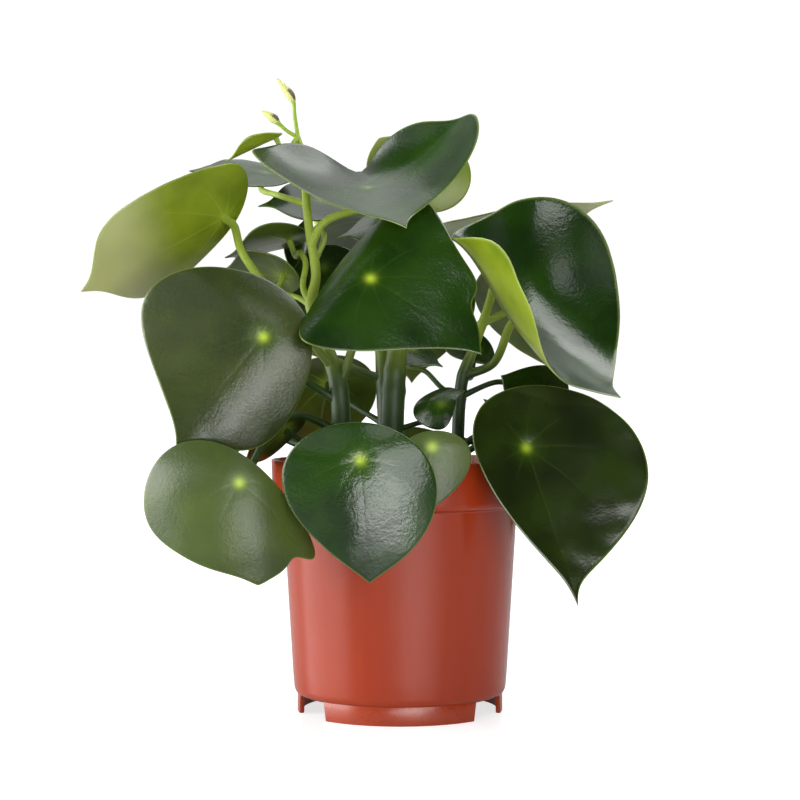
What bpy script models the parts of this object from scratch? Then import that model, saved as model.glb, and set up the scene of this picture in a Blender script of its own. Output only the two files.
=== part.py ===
# Potted peperomia: four leafy stems in compost, in a glossy plastic nursery pot.
# Metres, +Z up, the front faces -Y. The pot stands on z = 0 and is centred on the origin.
import math

import bmesh
import bpy
import numpy as np

MM = 0.001
WELD = 0.00001

# Pot: the outer side from the rim down to the floor, as radius and height
RIM_RADIUS = 60.0 * MM
RIM_HEIGHT = 117.0 * MM
LEDGE_RADIUS = 54.6 * MM
LEDGE_HEIGHT = 95.8 * MM
WALL_FOOT_RADIUS = 49.9 * MM
WALL_FOOT_HEIGHT = 18.0 * MM
FLOOR_HEIGHT = 8.0 * MM
POT_WALL = 1.3 * MM
POT_STEPS = 48
POT_SIDE = (
    (RIM_RADIUS, RIM_HEIGHT),
    (59.3 * MM, 98.4 * MM),
    (58.7 * MM, 96.6 * MM),
    (57.2 * MM, LEDGE_HEIGHT),
    (LEDGE_RADIUS, 95.4 * MM),
    (WALL_FOOT_RADIUS, WALL_FOOT_HEIGHT),
    (49.3 * MM, 11.0 * MM),
    (48.3 * MM, 8.8 * MM),
    (46.6 * MM, FLOOR_HEIGHT),
    (0.0, FLOOR_HEIGHT),
)

# Foot ring with three notches, and a flat pad at the middle that the object's origin lies on
FOOT_OUTER = 47.8 * MM
FOOT_INNER = 45.6 * MM
FOOT_SINK = 0.6 * MM
NOTCH_ANGLES = (90, 210, 330)
NOTCH_TOP_HALF = 11.1 * MM
NOTCH_BOTTOM_HALF = 12.8 * MM
NOTCH_MARGIN = 1.0 * MM
PAD_RADIUS = 15.0 * MM

# Soil: a filled plug with a low dome, clear of the pot by the seat gap
SEAT_GAP = 0.3 * MM
INSET = POT_WALL + SEAT_GAP
SOIL_PROFILE = (
    (0.0, 107.0 * MM),
    (42.0 * MM, 105.4 * MM),
    (55.0 * MM, 103.8 * MM),
    (57.1 * MM, 103.4 * MM),
    (57.2 * MM, 98.0 * MM),
    (52.7 * MM, 96.9 * MM),
    (WALL_FOOT_RADIUS - INSET, WALL_FOOT_HEIGHT),
    (47.7 * MM, 11.6 * MM),
    (46.6 * MM, FLOOR_HEIGHT + INSET),
    (0.0, FLOOR_HEIGHT + INSET),
)
SOIL_STEPS = 32
SOCKET_FLOOR = 81.7 * MM
SOCKET_TOP = 125.0 * MM
SOCKET_SIDES = 24

# Blades: the thickness, and the gap between a blade and the stalk's end under it
BLADE_THICKNESS = 0.9 * MM
STALK_GAP = 0.3 * MM
STALK_RUN_IN = 9.0 * MM
TUBE_STEP = 7.0 * MM
STALK_SIDES = 6
POINT_WIDTH = 0.3
CREASE = 0.01

# Sectors and rings of a blade's mesh by its length from heel to tip
LARGE_BLADE = 52.0 * MM
SMALL_BLADE = 34.0 * MM

# Each leaf in millimetres: the spot where the stalk meets it, its tip, its heel opposite the
# tip, and the widest points of its left and right margins, seen from above with the tip down.
# drop pulls the widest points towards the heel, point draws the tip out, curl says how late
# a side bends, fold_left and fold_right fold the heel up on both sides of its own middle,
# heel_left, heel_right and tip_left lift one quarter, and dents pull the margin in at an angle
# round the spot, by a share, over a width; a share below zero pushes it out.
LEAVES = {
    "leaf_crown": dict(spot=(-15, -8, 243), tip=(3, -50, 221), heel=(-18, 16, 252),
                       left=(-67, -22, 256), right=(35, -18, 270), point=11,
                       fold_left=12, fold_right=17, heel_left=2, heel_right=8, tip_left=-1,
                       dents=((135, -0.12, 22),)),
    "leaf_left_high": dict(spot=(-82, -2, 230), tip=(-145, -25, 194), heel=(-71, -4, 251),
                           left=(-107, 12, 199), right=(-123, -38, 232),
                           drop=0.6, point=5, dents=((222, 0.25, 28),)),
    "leaf_left_front": dict(spot=(-60, -58, 173), tip=(-98, -60, 125), heel=(-48, -48, 191),
                            left=(-111, -48, 194), right=(-51, -53, 134)),
    "leaf_left_low": dict(spot=(-69, -76, 110), tip=(-61, -74, 66), heel=(-84, -68, 128),
                          left=(-110, -66, 93), right=(-37, -56, 79), drop=0.35,
                          dents=((58, 0.2, 26), (322, -0.07, 25))),
    "leaf_front_low": dict(spot=(-17, -80, 120), tip=(-13, -78, 67), heel=(-16, -76, 136),
                           left=(-51, -72, 111), right=(16, -74, 107), drop=0.7, point=1.5),
    "leaf_front_small": dict(spot=(14, -66, 125), tip=(13, -66, 97), heel=(17, -63, 132),
                             left=(0, -63, 121), right=(31, -62, 119), drop=0.7, point=1.5),
    "leaf_right_cupped": dict(spot=(56, -14, 184), tip=(98, -46, 146), heel=(50, 2, 234),
                              left=(53, -62, 193), right=(99, 2, 202), drop=0.5, point=5, curl=2.6,
                              heel_left=-9, tip_left=-6, dents=((226, -0.45, 19), (140, -0.1, 34))),
    "leaf_right_low": dict(spot=(56, -48, 124), tip=(78, -62, 55), heel=(69, -36, 151),
                           left=(32, -58, 128), right=(111, -40, 115), drop=1.1, point=8),
    "leaf_right_back": dict(spot=(52, 50, 231), tip=(103, 32, 240), heel=(15, 55, 227),
                            left=(50, 24, 235), right=(70, 78, 224), point=8),
    "leaf_middle": dict(spot=(-13, -48, 199), tip=(36, -55, 165), heel=(-6, -22, 229),
                        left=(-46, -63, 172), right=(26, -38, 212),
                        drop=0.9, dents=((228, 0.2, 22), (52, 0.14, 20))),
    "leaf_crown_back": dict(spot=(12, 30, 250), tip=(-10, 27, 270), heel=(25, 33, 237),
                            left=(-10, 31, 244), right=(29, 35, 265), drop=0.3, point=1),
    "leaf_young": dict(spot=(-58, -2, 267), tip=(-81, -8, 255), heel=(-55, -1, 269),
                       left=(-71, 6, 268), right=(-69, -12, 266), point=1.5),
    "leaf_left_upper": dict(spot=(-65, 28, 254), tip=(-99, 5, 252), heel=(-51, 35, 252),
                            left=(-75, 53, 262), right=(-71, 7, 245)),
    "leaf_under_crown": dict(spot=(-39, 34, 241), tip=(-67, 10, 236), heel=(-24, 46, 238),
                             left=(-48, 54, 251), right=(-38, 8, 229), point=6),
    "leaf_hooked": dict(spot=(-7, 14, 229), tip=(-30, 2, 220), heel=(2, 20, 233),
                        left=(-10, 30, 236), right=(-9, 0, 219), point=6),
    "leaf_left_roof": dict(spot=(-53, 20, 221), tip=(-82, 2, 211), heel=(-44, 26, 223),
                           left=(-67, 44, 216), right=(-63, -6, 226)),
    "leaf_left_inner": dict(spot=(-55, 10, 203), tip=(-86, 16, 206), heel=(-47, 8, 199),
                            left=(-73, 28, 191), right=(-68, -8, 214)),
    "leaf_left_upright": dict(spot=(-49, 50, 214), tip=(-46, 56, 236), heel=(-49, 46, 206),
                              left=(-42, 46, 220), right=(-57, 48, 220), point=2),
    "leaf_shaded": dict(spot=(-37, 29, 208), tip=(-47, 20, 180), heel=(-31, 33, 219),
                        left=(-52, 26, 205), right=(-16, 29, 200)),
    "leaf_right_hidden": dict(spot=(65, -17, 146), tip=(46, -19, 156), heel=(75, -15, 139),
                              left=(73, -7, 159), right=(56, -25, 133), point=1),
    "leaf_right_tucked": dict(spot=(53, -8, 134), tip=(39, 4, 145), heel=(60, -14, 128),
                              left=(60, 2, 144), right=(44, -12, 125)),
    "leaf_under_middle": dict(spot=(37, 31, 169), tip=(16, 37, 174), heel=(45, 28, 163),
                              left=(36, 45, 178), right=(28, 19, 164)),
    "leaf_inner_small": dict(spot=(6, 12, 168), tip=(20, -2, 160), heel=(0, 18, 173),
                             left=(2, 0, 161), right=(12, 28, 171)),
    "leaf_left_tucked": dict(spot=(-53, -16, 131), tip=(-72, -38, 114), heel=(-44, -8, 137),
                             left=(-57, -10, 121), right=(-62, -32, 131)),
    "leaf_inner_low": dict(spot=(19, -22, 143), tip=(30, -12, 149), heel=(6, -18, 141),
                           left=(20, -26, 132), right=(17, -8, 149)),
    "leaf_back_high": dict(spot=(-14, 64, 234), tip=(-18, 106, 206), heel=(-12, 48, 238),
                           left=(18, 72, 225), right=(-48, 76, 223)),
    "leaf_back_middle": dict(spot=(8, 74, 200), tip=(6, 94, 152), heel=(9, 60, 216),
                             left=(38, 74, 192), right=(-24, 80, 190)),
    "leaf_back_left": dict(spot=(-72, 44, 178), tip=(-92, 66, 134), heel=(-64, 34, 196),
                           left=(-52, 70, 172), right=(-108, 34, 174)),
    "leaf_back_right": dict(spot=(64, 50, 196), tip=(88, 70, 152), heel=(54, 42, 212),
                            left=(94, 36, 188), right=(40, 74, 188)),
    "leaf_back_low": dict(spot=(4, 84, 112), tip=(2, 92, 62), heel=(4, 76, 130),
                          left=(36, 78, 104), right=(-30, 82, 102)),
    "leaf_back_inner": dict(spot=(-36, 62, 152), tip=(-44, 78, 110), heel=(-33, 50, 166),
                            left=(-12, 66, 146), right=(-62, 60, 144)),
    "leaf_side_left": dict(spot=(-92, 16, 118), tip=(-98, 20, 74), heel=(-84, 12, 134),
                           left=(-88, 46, 108), right=(-94, -16, 108), point=1),
    "leaf_side_right": dict(spot=(78, 34, 116), tip=(94, 46, 68), heel=(70, 28, 130),
                            left=(96, 8, 108), right=(66, 64, 108)),
}

# Each stem in millimetres: the points it passes and its radius at each, from the soil up
STEMS = {
    "stem_left": dict(
        route=((-27, -15, 82), (-27, -15, 100), (-27, -15, 118), (-28, -17, 150), (-36, -12, 174),
               (-41, -8, 189), (-39, -6, 203), (-42, -3, 222), (-44, 0, 241), (-45, 4, 257),
               (-48, 8, 268)),
        radii=(4.3, 4.3, 4.3, 4.2, 3.0, 2.8, 2.2, 2.1, 1.9, 1.6, 1.3), sides=8),
    "stem_middle": dict(
        route=((-4, -10, 82), (-4, -10, 100), (-4, -10, 118), (-3, -10, 150), (0, -6, 176), (4, 0, 200),
               (6, 6, 218)),
        radii=(5.5, 5.5, 5.5, 5.4, 4.0, 2.8, 2.2), sides=10),
    "stem_right": dict(
        route=((27, 6, 82), (27, 6, 100), (27, 6, 118), (29, 9, 152), (36, 10, 172), (44, 16, 196),
               (48, 26, 214)),
        radii=(3.0, 3.0, 3.0, 2.9, 2.3, 2.0, 1.8), sides=8),
    "stem_back": dict(
        route=((-6, 32, 82), (-6, 32, 100), (-6, 32, 118), (-8, 36, 150), (-10, 40, 190), (-12, 44, 222)),
        radii=(4.0, 4.0, 4.0, 3.6, 2.6, 2.0), sides=8),
}

# Each leaf's stalk in millimetres: its stem, the points it passes from the stem on, its radius
STALKS = {
    "leaf_crown": ("stem_left", ((-42, -4, 216), (-34, -4, 228)), 1.9),
    "leaf_left_high": ("stem_left", ((-31, -16, 160), (-46, -24, 178), (-62, -22, 198),
                                     (-72, -20, 212)), 1.9),
    "leaf_left_front": ("stem_left", ((-28, -17, 144), (-36, -19, 149), (-46, -28, 156)), 1.7),
    "leaf_left_low": ("stem_left", ((-28, -15, 130), (-46, -25, 138), (-58, -42, 130),
                                    (-67, -56, 113)), 1.7),
    "leaf_front_low": ("stem_middle", ((-4, -10, 124), (-14, -50, 128)), 1.6),
    "leaf_front_small": ("stem_middle", ((-4, -10, 118), (8, -46, 128)), 1.2),
    "leaf_right_cupped": ("stem_right", ((30, 9, 156), (44, 4, 162)), 2.0),
    "leaf_right_low": ("stem_right", ((27, 6, 120), (36, -24, 128)), 1.7),
    "leaf_right_back": ("stem_right", ((47, 24, 210), (52, 40, 222)), 1.6),
    "leaf_middle": ("stem_left", ((-28, -17, 151), (-23, -18, 165), (-17, -24, 184)), 2.0),
    "leaf_crown_back": ("stem_middle", ((6, 6, 214), (10, 14, 240)), 1.5),
    "leaf_young": ("stem_left", ((-48, 8, 268),), 1.1),
    "leaf_left_upper": ("stem_left", ((-44, 0, 236), (-58, 8, 241)), 1.4),
    "leaf_under_crown": ("stem_left", ((-40, -5, 208), (-36, 16, 222)), 1.4),
    "leaf_hooked": ("stem_middle", ((5, 4, 210), (-2, 12, 220)), 1.3),
    "leaf_left_roof": ("stem_left", ((-41, -8, 189), (-45, -6, 197), (-44, 0, 208),
                                     (-47, 8, 214)), 1.4),
    "leaf_left_inner": ("stem_left", ((-41, -8, 188), (-47, -4, 192)), 1.2),
    "leaf_left_upright": ("stem_back", ((-10, 40, 190), (-34, 56, 200)), 1.2),
    "leaf_shaded": ("stem_back", ((-10, 40, 188), (-22, 42, 200)), 1.2),
    "leaf_right_hidden": ("stem_right", ((28, 8, 146), (48, 8, 153)), 1.3),
    "leaf_right_tucked": ("stem_right", ((27, 6, 126), (42, 4, 124)), 1.2),
    "leaf_under_middle": ("stem_right", ((30, 9, 156), (34, 24, 155)), 1.2),
    "leaf_inner_small": ("stem_right", ((28, 8, 146), (20, 10, 150), (12, 14, 158)), 1.2),
    "leaf_left_tucked": ("stem_left", ((-27, -15, 120), (-40, -18, 124)), 1.3),
    "leaf_inner_low": ("stem_middle", ((-4, -10, 130), (8, -12, 134)), 1.2),
    "leaf_back_high": ("stem_back", ((-12, 42, 212),), 1.7),
    "leaf_back_middle": ("stem_back", ((-9, 37, 170), (4, 52, 186)), 1.7),
    "leaf_back_left": ("stem_back", ((-8, 36, 154), (-44, 30, 168)), 1.7),
    "leaf_back_right": ("stem_right", ((38, 12, 180), (50, 34, 186)), 1.7),
    "leaf_back_low": ("stem_back", ((-6, 32, 118), (0, 56, 128)), 1.6),
    "leaf_back_inner": ("stem_back", ((-7, 34, 132), (-24, 44, 142)), 1.4),
    "leaf_side_left": ("stem_left", ((-27, -14, 118), (-50, 10, 124), (-66, 14, 130)), 1.5),
    "leaf_side_right": ("stem_right", ((27, 6, 118), (52, 22, 128)), 1.5),
}

# The growing tip of the left stem: two short branches that end in pointed buds
BUDS = (
    dict(route=((-48, 8, 268), (-49.5, 8, 278), (-50, 8, 284), (-51.5, 8, 287.5),
                (-54.5, 8, 291.5), (-58, 8, 295.5)),
         radii=(1.0, 0.9, 1.0, 2.2, 1.7, 0.5)),
    dict(route=((-48, 8, 268), (-53, 8, 271), (-57, 8, 274.5), (-59, 8, 276.5),
                (-62, 8, 278.6), (-65, 8, 280.3)),
         radii=(1.0, 0.9, 1.1, 2.2, 1.7, 0.5)),
)

# Materials as sRGB colour, roughness, coat
COLOURS = {
    "leaf_green": ((46, 78, 26), 0.32),
    "young_leaf_green": ((96, 138, 28), 0.38),
    "stem_green": ((112, 142, 46), 0.45),
    "pot_terracotta": ((180, 76, 54), 0.22),
    "potting_soil": ((46, 34, 26), 0.95),
}


def linear(colour):
    return tuple(((c / 255 + 0.055) / 1.055) ** 2.4 for c in colour)


def material(name):
    colour, roughness = COLOURS[name]
    mat = bpy.data.materials.get(name)
    if mat is None:
        mat = bpy.data.materials.new(name)
        mat.use_nodes = True
        mat.diffuse_color = (*linear(colour), 1.0)
        shader = mat.node_tree.nodes["Principled BSDF"]
        shader.inputs["Base Color"].default_value = (*linear(colour), 1.0)
        shader.inputs["Roughness"].default_value = roughness
        shader.inputs["Metallic"].default_value = 0.0
    return mat


def new_collection(name):
    collection = bpy.data.collections.new(name)
    bpy.context.scene.collection.children.link(collection)
    return collection


def add_object(name, points, edges, faces, collection):
    mesh = bpy.data.meshes.new(name)
    mesh.from_pydata([tuple(float(c) for c in p) for p in points], edges, faces)
    mesh.validate()
    obj = bpy.data.objects.new(name, mesh)
    collection.objects.link(obj)
    return obj


def apply_modifiers(obj):
    graph = bpy.context.evaluated_depsgraph_get()
    mesh = bpy.data.meshes.new_from_object(obj.evaluated_get(graph))
    obj.modifiers.clear()
    obj.data = mesh


def clean(obj):
    """Welds points that lie on one spot and turns the faces outward."""
    bm = bmesh.new()
    bm.from_mesh(obj.data)
    bmesh.ops.remove_doubles(bm, verts=bm.verts, dist=WELD)
    bmesh.ops.recalc_face_normals(bm, faces=bm.faces)
    bm.to_mesh(obj.data)
    bm.free()


def finish(obj, mat_name, sharp_degrees):
    obj.data.materials.clear()
    obj.data.materials.append(material(mat_name))
    obj.data.shade_smooth()
    obj.data.set_sharp_from_angle(angle=math.radians(sharp_degrees))


def turned(name, profile, steps, collection):
    """A profile of radius and height, turned round Z."""
    points = [(r, 0.0, z) for r, z in profile]
    obj = add_object(name, points, [(i, i + 1) for i in range(len(points) - 1)], [], collection)
    screw = obj.modifiers.new("turn", "SCREW")
    screw.axis = "Z"
    screw.steps = steps
    screw.render_steps = steps
    screw.use_merge_vertices = True
    screw.merge_threshold = 0.0001
    screw.use_normal_calculate = True
    return obj


def boolean(obj, operation, collection):
    cut = obj.modifiers.new(operation.lower(), "BOOLEAN")
    cut.operation = operation
    cut.operand_type = "COLLECTION"
    cut.collection = collection
    cut.solver = "EXACT"
    apply_modifiers(obj)
    for other in list(collection.objects):
        bpy.data.objects.remove(other)


def cylinder(name, radius, low, high, centre, sides, collection):
    bm = bmesh.new()
    bmesh.ops.create_cone(bm, cap_ends=True, segments=sides, radius1=radius, radius2=radius,
                          depth=high - low)
    bmesh.ops.translate(bm, verts=bm.verts, vec=(centre[0], centre[1], (low + high) / 2))
    mesh = bpy.data.meshes.new(name)
    bm.to_mesh(mesh)
    bm.free()
    obj = bpy.data.objects.new(name, mesh)
    collection.objects.link(obj)
    return obj


def build_pot(parts, tools, cutters):
    pot = turned("pot", POT_SIDE, POT_STEPS, parts)
    wall = pot.modifiers.new("wall", "SOLIDIFY")
    wall.thickness = POT_WALL
    wall.offset = -1.0
    wall.use_even_offset = True
    apply_modifiers(pot)
    clean(pot)
    # The foot ring and the pad reach a little way into the floor
    top = FLOOR_HEIGHT + FOOT_SINK
    ring = turned("foot", ((FOOT_OUTER, top), (FOOT_OUTER, 0.0), (FOOT_INNER, 0.0),
                           (FOOT_INNER, top), (FOOT_OUTER, top)), POT_STEPS, tools)
    apply_modifiers(ring)
    clean(ring)
    # Each notch is cut by a wedge that widens downwards
    for angle in NOTCH_ANGLES:
        turn = math.radians(angle)
        out = np.array([math.cos(turn), math.sin(turn), 0.0])
        side = np.array([-math.sin(turn), math.cos(turn), 0.0])
        corners = []
        for radius in (FOOT_INNER - 4 * NOTCH_MARGIN, FOOT_OUTER + NOTCH_MARGIN):
            for half, height in ((-NOTCH_BOTTOM_HALF, -NOTCH_MARGIN),
                                 (NOTCH_BOTTOM_HALF, -NOTCH_MARGIN),
                                 (NOTCH_TOP_HALF, top + NOTCH_MARGIN),
                                 (-NOTCH_TOP_HALF, top + NOTCH_MARGIN)):
                corners.append(out * radius + side * half + np.array([0.0, 0.0, height]))
        faces = [(0, 1, 2, 3), (4, 5, 6, 7), (0, 1, 5, 4), (1, 2, 6, 5), (2, 3, 7, 6), (3, 0, 4, 7)]
        clean(add_object("notch", corners, [], faces, cutters))
    boolean(ring, "DIFFERENCE", cutters)
    cylinder("pad", PAD_RADIUS, 0.0, top, (0, 0), SOCKET_SIDES, tools)
    boolean(pot, "UNION", tools)
    finish(pot, "pot_terracotta", 35)


def build_soil(parts, cutters):
    soil = turned("soil", SOIL_PROFILE, SOIL_STEPS, parts)
    apply_modifiers(soil)
    clean(soil)
    for spec in STEMS.values():
        x, y, _ = (c * MM for c in spec["route"][0])
        cylinder("socket", spec["radii"][0] * MM + SEAT_GAP, SOCKET_FLOOR, SOCKET_TOP, (x, y),
                 SOCKET_SIDES, cutters)
    boolean(soil, "DIFFERENCE", cutters)
    finish(soil, "potting_soil", 35)


def unit(v):
    return v / np.linalg.norm(v)


class Blade:
    """The middle surface of one blade, from its landmarks."""

    def __init__(self, spot, tip, heel, left, right, drop=0.8, point=3.0, curl=2.0,
                 fold_left=0.0, fold_right=0.0, heel_left=0.0, heel_right=0.0, tip_left=0.0,
                 dents=()):
        marks = {k: (np.array(v, float) - spot) * MM
                 for k, v in dict(tip=tip, heel=heel, left=left, right=right).items()}
        self.spot = np.array(spot, float) * MM
        self.normal = unit(np.cross(marks["tip"] - marks["heel"], marks["right"] - marks["left"]))
        self.along = unit(marks["tip"] - self.normal * marks["tip"].dot(self.normal))
        self.across = np.cross(self.normal, self.along)
        flat = {k: np.array([v.dot(self.along), v.dot(self.across)]) for k, v in marks.items()}
        up = {k: v.dot(self.normal) for k, v in marks.items()}
        self.drop, self.curl, self.dents = drop, curl, dents
        self.point = point * MM
        self.fold_left, self.fold_right = fold_left * MM, fold_right * MM
        self.widest = 2 * math.atan(math.sqrt(drop + 1))
        self.length, self.back = flat["tip"][0], -flat["heel"][0]
        self.tip, self.heel = np.array([self.length - self.point, 0.0]), flat["heel"]
        c = math.cos(self.widest)
        middle = self.tip * (1 + c) / 2 + self.heel * (1 - c) / 2
        self.right, self.left = flat["right"] - middle, flat["left"] - middle
        self.wide = {1: flat["right"][1], -1: -flat["left"][1]}
        self.end_lift = {1: up["tip"], -1: up["heel"]}
        self.quarter = {(1, 1): 0.0, (1, -1): tip_left * MM,
                        (-1, 1): heel_right * MM, (-1, -1): heel_left * MM}
        self.side_lift = {}
        for side, k in ((1, "right"), (-1, "left")):
            u = flat[k][0]
            end = 1 if u > 0 else -1
            reach = self.length if u > 0 else self.back
            self.side_lift[side] = up[k] - self.end_lift[end] * (u / reach) ** 2

    def side_wave(self, phi):
        wave = np.sin(phi) * np.abs(np.sin(phi / 2)) ** self.drop
        return wave / (math.sin(self.widest) * math.sin(self.widest / 2) ** self.drop)

    def rim(self, phi):
        """The flat margin at angle phi, 0 at the tip and growing to the right."""
        c = np.cos(phi)[..., None]
        odd = self.side_wave(phi)[..., None]
        flat = self.tip * (1 + c) / 2 + self.heel * (1 - c) / 2
        flat = flat + odd * (self.right - self.left) / 2 + odd ** 2 * (self.right + self.left) / 2
        near = np.minimum(phi, 2 * math.pi - phi)
        flat[..., 0] += self.point * np.exp(-(near / POINT_WIDTH) ** 2)
        for where, depth, width in self.dents:
            away = np.abs((np.degrees(phi) - where + 180) % 360 - 180)
            flat = flat * (1 - depth * np.exp(-(away / width) ** 2))[..., None]
        return flat

    def lift(self, u, v):
        """Height over the flat plane at u along the midrib and v across it."""
        un = np.where(u > 0, u / self.length, u / self.back)
        h = np.where(u > 0, self.end_lift[1], self.end_lift[-1]) * un ** 2
        for side in (1, -1):
            vn = np.clip(side * v, 0, None) / self.wide[side]
            h = h + self.side_lift[side] * vn ** self.curl
            for end in (1, -1):
                h = h + self.quarter[end, side] * 5 * np.clip(end * un, 0, None) ** 2 * vn ** 2
        # The fold's two slopes meet on the line from the spot to the heel
        off = v + self.heel[1] * un
        slope = np.where(off > 0, self.fold_right, self.fold_left)
        off = off / np.where(off > 0, self.wide[1], self.wide[-1])
        ridge = np.sqrt(off ** 2 + CREASE) - math.sqrt(CREASE)
        ridge = ridge - off ** 2 * (math.sqrt(1 + CREASE) - math.sqrt(CREASE))
        return h + slope * 5 * np.clip(-un, 0, None) ** 2 * ridge

    def at(self, phi, share):
        """Points at angle phi and a share of the way from the spot to the margin."""
        flat = self.rim(phi) * share[..., None]
        u, v = flat[..., 0], flat[..., 1]
        lift = self.lift(u, v)
        return (self.spot + u[..., None] * self.along + v[..., None] * self.across
                + lift[..., None] * self.normal)

    def mesh_rings(self):
        """The angles and the rings' shares of this blade's mesh, by its size."""
        size = self.length + self.back
        if size > LARGE_BLADE:
            sectors, shares = 18, (0.38, 0.7, 1.0)
        elif size > SMALL_BLADE:
            sectors, shares = 14, (0.55, 1.0)
        else:
            sectors, shares = 10, (0.6, 1.0)
        # Two more sectors beside the tip keep its point
        step = 2 * math.pi / sectors
        phi = np.concatenate([[0.0, 0.45 * step], np.arange(1, sectors) * step,
                              [2 * math.pi - 0.45 * step]])
        return phi, shares

    def dip(self, radius):
        """How far, in millimetres, the facets round the spot fall over a stalk's radius."""
        phi, shares = self.mesh_rings()
        flat = self.rim(phi) * shares[0]
        slope = -self.lift(flat[..., 0], flat[..., 1]) / np.linalg.norm(flat, axis=-1)
        return max(0.0, float(slope.max())) * radius


def build_leaf(name, blade, parts):
    phi, shares = blade.mesh_rings()
    count = len(phi)
    points = [blade.spot]
    for share in shares:
        points.extend(blade.at(phi, np.full(count, share)))
    faces = []
    for j in range(count):
        k = (j + 1) % count
        faces.append((0, 1 + j, 1 + k))
        for ring in range(len(shares) - 1):
            a = 1 + ring * count
            b = a + count
            if j < count // 2:
                faces.append((a + j, b + j, b + k))
                faces.append((a + j, b + k, a + k))
            else:
                faces.append((a + j, b + j, a + k))
                faces.append((b + j, b + k, a + k))
    leaf = add_object(name, points, [], faces, parts)
    sheet = leaf.modifiers.new("thickness", "SOLIDIFY")
    sheet.thickness = BLADE_THICKNESS
    sheet.offset = 0.0
    apply_modifiers(leaf)
    clean(leaf)
    finish(leaf, "young_leaf_green" if name == "leaf_young" else "leaf_green", 50)


def smooth_route(points, step):
    """Points on a smooth curve through all of the route's own points."""
    p = np.array(points, float)
    p = np.vstack([2 * p[0] - p[1], p, 2 * p[-1] - p[-2]])
    route, position = [], []
    for i in range(1, len(p) - 2):
        a, b, c, d = p[i - 1:i + 3]
        pieces = max(1, round(np.linalg.norm(c - b) / step))
        for t in np.arange(pieces) / pieces:
            cubic = (2 * b + (c - a) * t + (2 * a - 5 * b + 4 * c - d) * t ** 2
                     + (3 * b - 3 * c + d - a) * t ** 3) / 2
            route.append(cubic)
            position.append(i - 1 + t)
    route.append(p[-2])
    position.append(len(p) - 3)
    return np.array(route), np.array(position)


def tube(name, points, radii, sides, collection):
    """A round tube through points in metres, made from a curve."""
    curve = bpy.data.curves.new(name, "CURVE")
    curve.dimensions = "3D"
    curve.twist_mode = "MINIMUM"
    curve.bevel_depth = 1.0
    curve.bevel_resolution = (sides - 4) // 2
    curve.use_fill_caps = True
    spline = curve.splines.new("POLY")
    spline.points.add(len(points) - 1)
    for target, point, radius in zip(spline.points, points, radii):
        target.co = (*point, 1.0)
        target.radius = radius
    source = bpy.data.objects.new(name + "_path", curve)
    collection.objects.link(source)
    graph = bpy.context.evaluated_depsgraph_get()
    mesh = bpy.data.meshes.new_from_object(source.evaluated_get(graph))
    mesh.transform(source.matrix_world)
    bpy.data.objects.remove(source)
    obj = bpy.data.objects.new(name, mesh)
    collection.objects.link(obj)
    clean(obj)
    return obj


def routed_tube(name, route, radii, sides, step, collection):
    points, position = smooth_route(np.array(route, float) * MM, step)
    widths = np.interp(position, np.arange(len(radii)), radii) * MM
    return tube(name, points, widths, sides, collection)


def build_stem(name, blades, parts, tools):
    spec = STEMS[name]
    stem = routed_tube(name, spec["route"], spec["radii"], spec["sides"], 2 * TUBE_STEP, parts)
    for leaf, (owner, passed, radius) in STALKS.items():
        if owner != name:
            continue
        blade = blades[leaf]
        under = (BLADE_THICKNESS / 2 + STALK_GAP) / MM + blade.dip(radius)
        spot = blade.spot / MM
        run_in = STALK_RUN_IN / MM
        route = [*passed, spot - blade.normal * run_in, spot - blade.normal * (under + run_in / 3),
                 spot - blade.normal * under]
        routed_tube("stalk", route, [radius] * len(route), STALK_SIDES, TUBE_STEP, tools)
    if name == "stem_left":
        for bud in BUDS:
            routed_tube("bud", bud["route"], bud["radii"], STALK_SIDES, TUBE_STEP, tools)
    boolean(stem, "UNION", tools)
    finish(stem, "stem_green", 60)


def main():
    for obj in list(bpy.data.objects):
        bpy.data.objects.remove(obj)
    parts = new_collection("potted_peperomia")
    tools = new_collection("joined_pieces")
    cutters = new_collection("cutters")
    build_pot(parts, tools, cutters)
    build_soil(parts, cutters)
    blades = {name: Blade(**marks) for name, marks in LEAVES.items()}
    for name, blade in blades.items():
        build_leaf(name, blade, parts)
    for name in STEMS:
        build_stem(name, blades, parts, tools)
    bpy.data.collections.remove(tools)
    bpy.data.collections.remove(cutters)
    total = 0
    for obj in parts.objects:
        obj.data.calc_loop_triangles()
        total += len(obj.data.loop_triangles)
    print(len(parts.objects), "objects,", total, "triangles")


main()
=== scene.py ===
# %% [markdown]
# A potted peperomia, dressed for its photograph. The construction model gives the pot, the soil,
# the stems and every leaf at its real size. This lesson replaces each plain solid with a finer
# piece of the same form: leathery leaves with a glowing spot where the stalk meets them, fleshy
# stalks, a glossy nursery pot and crumbly soil. All lengths are metres, +Z is up and the plant's
# front faces -Y.

# %% Load the construction model
import math

import bmesh
import bpy
import numpy as np
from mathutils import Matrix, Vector, noise


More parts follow.
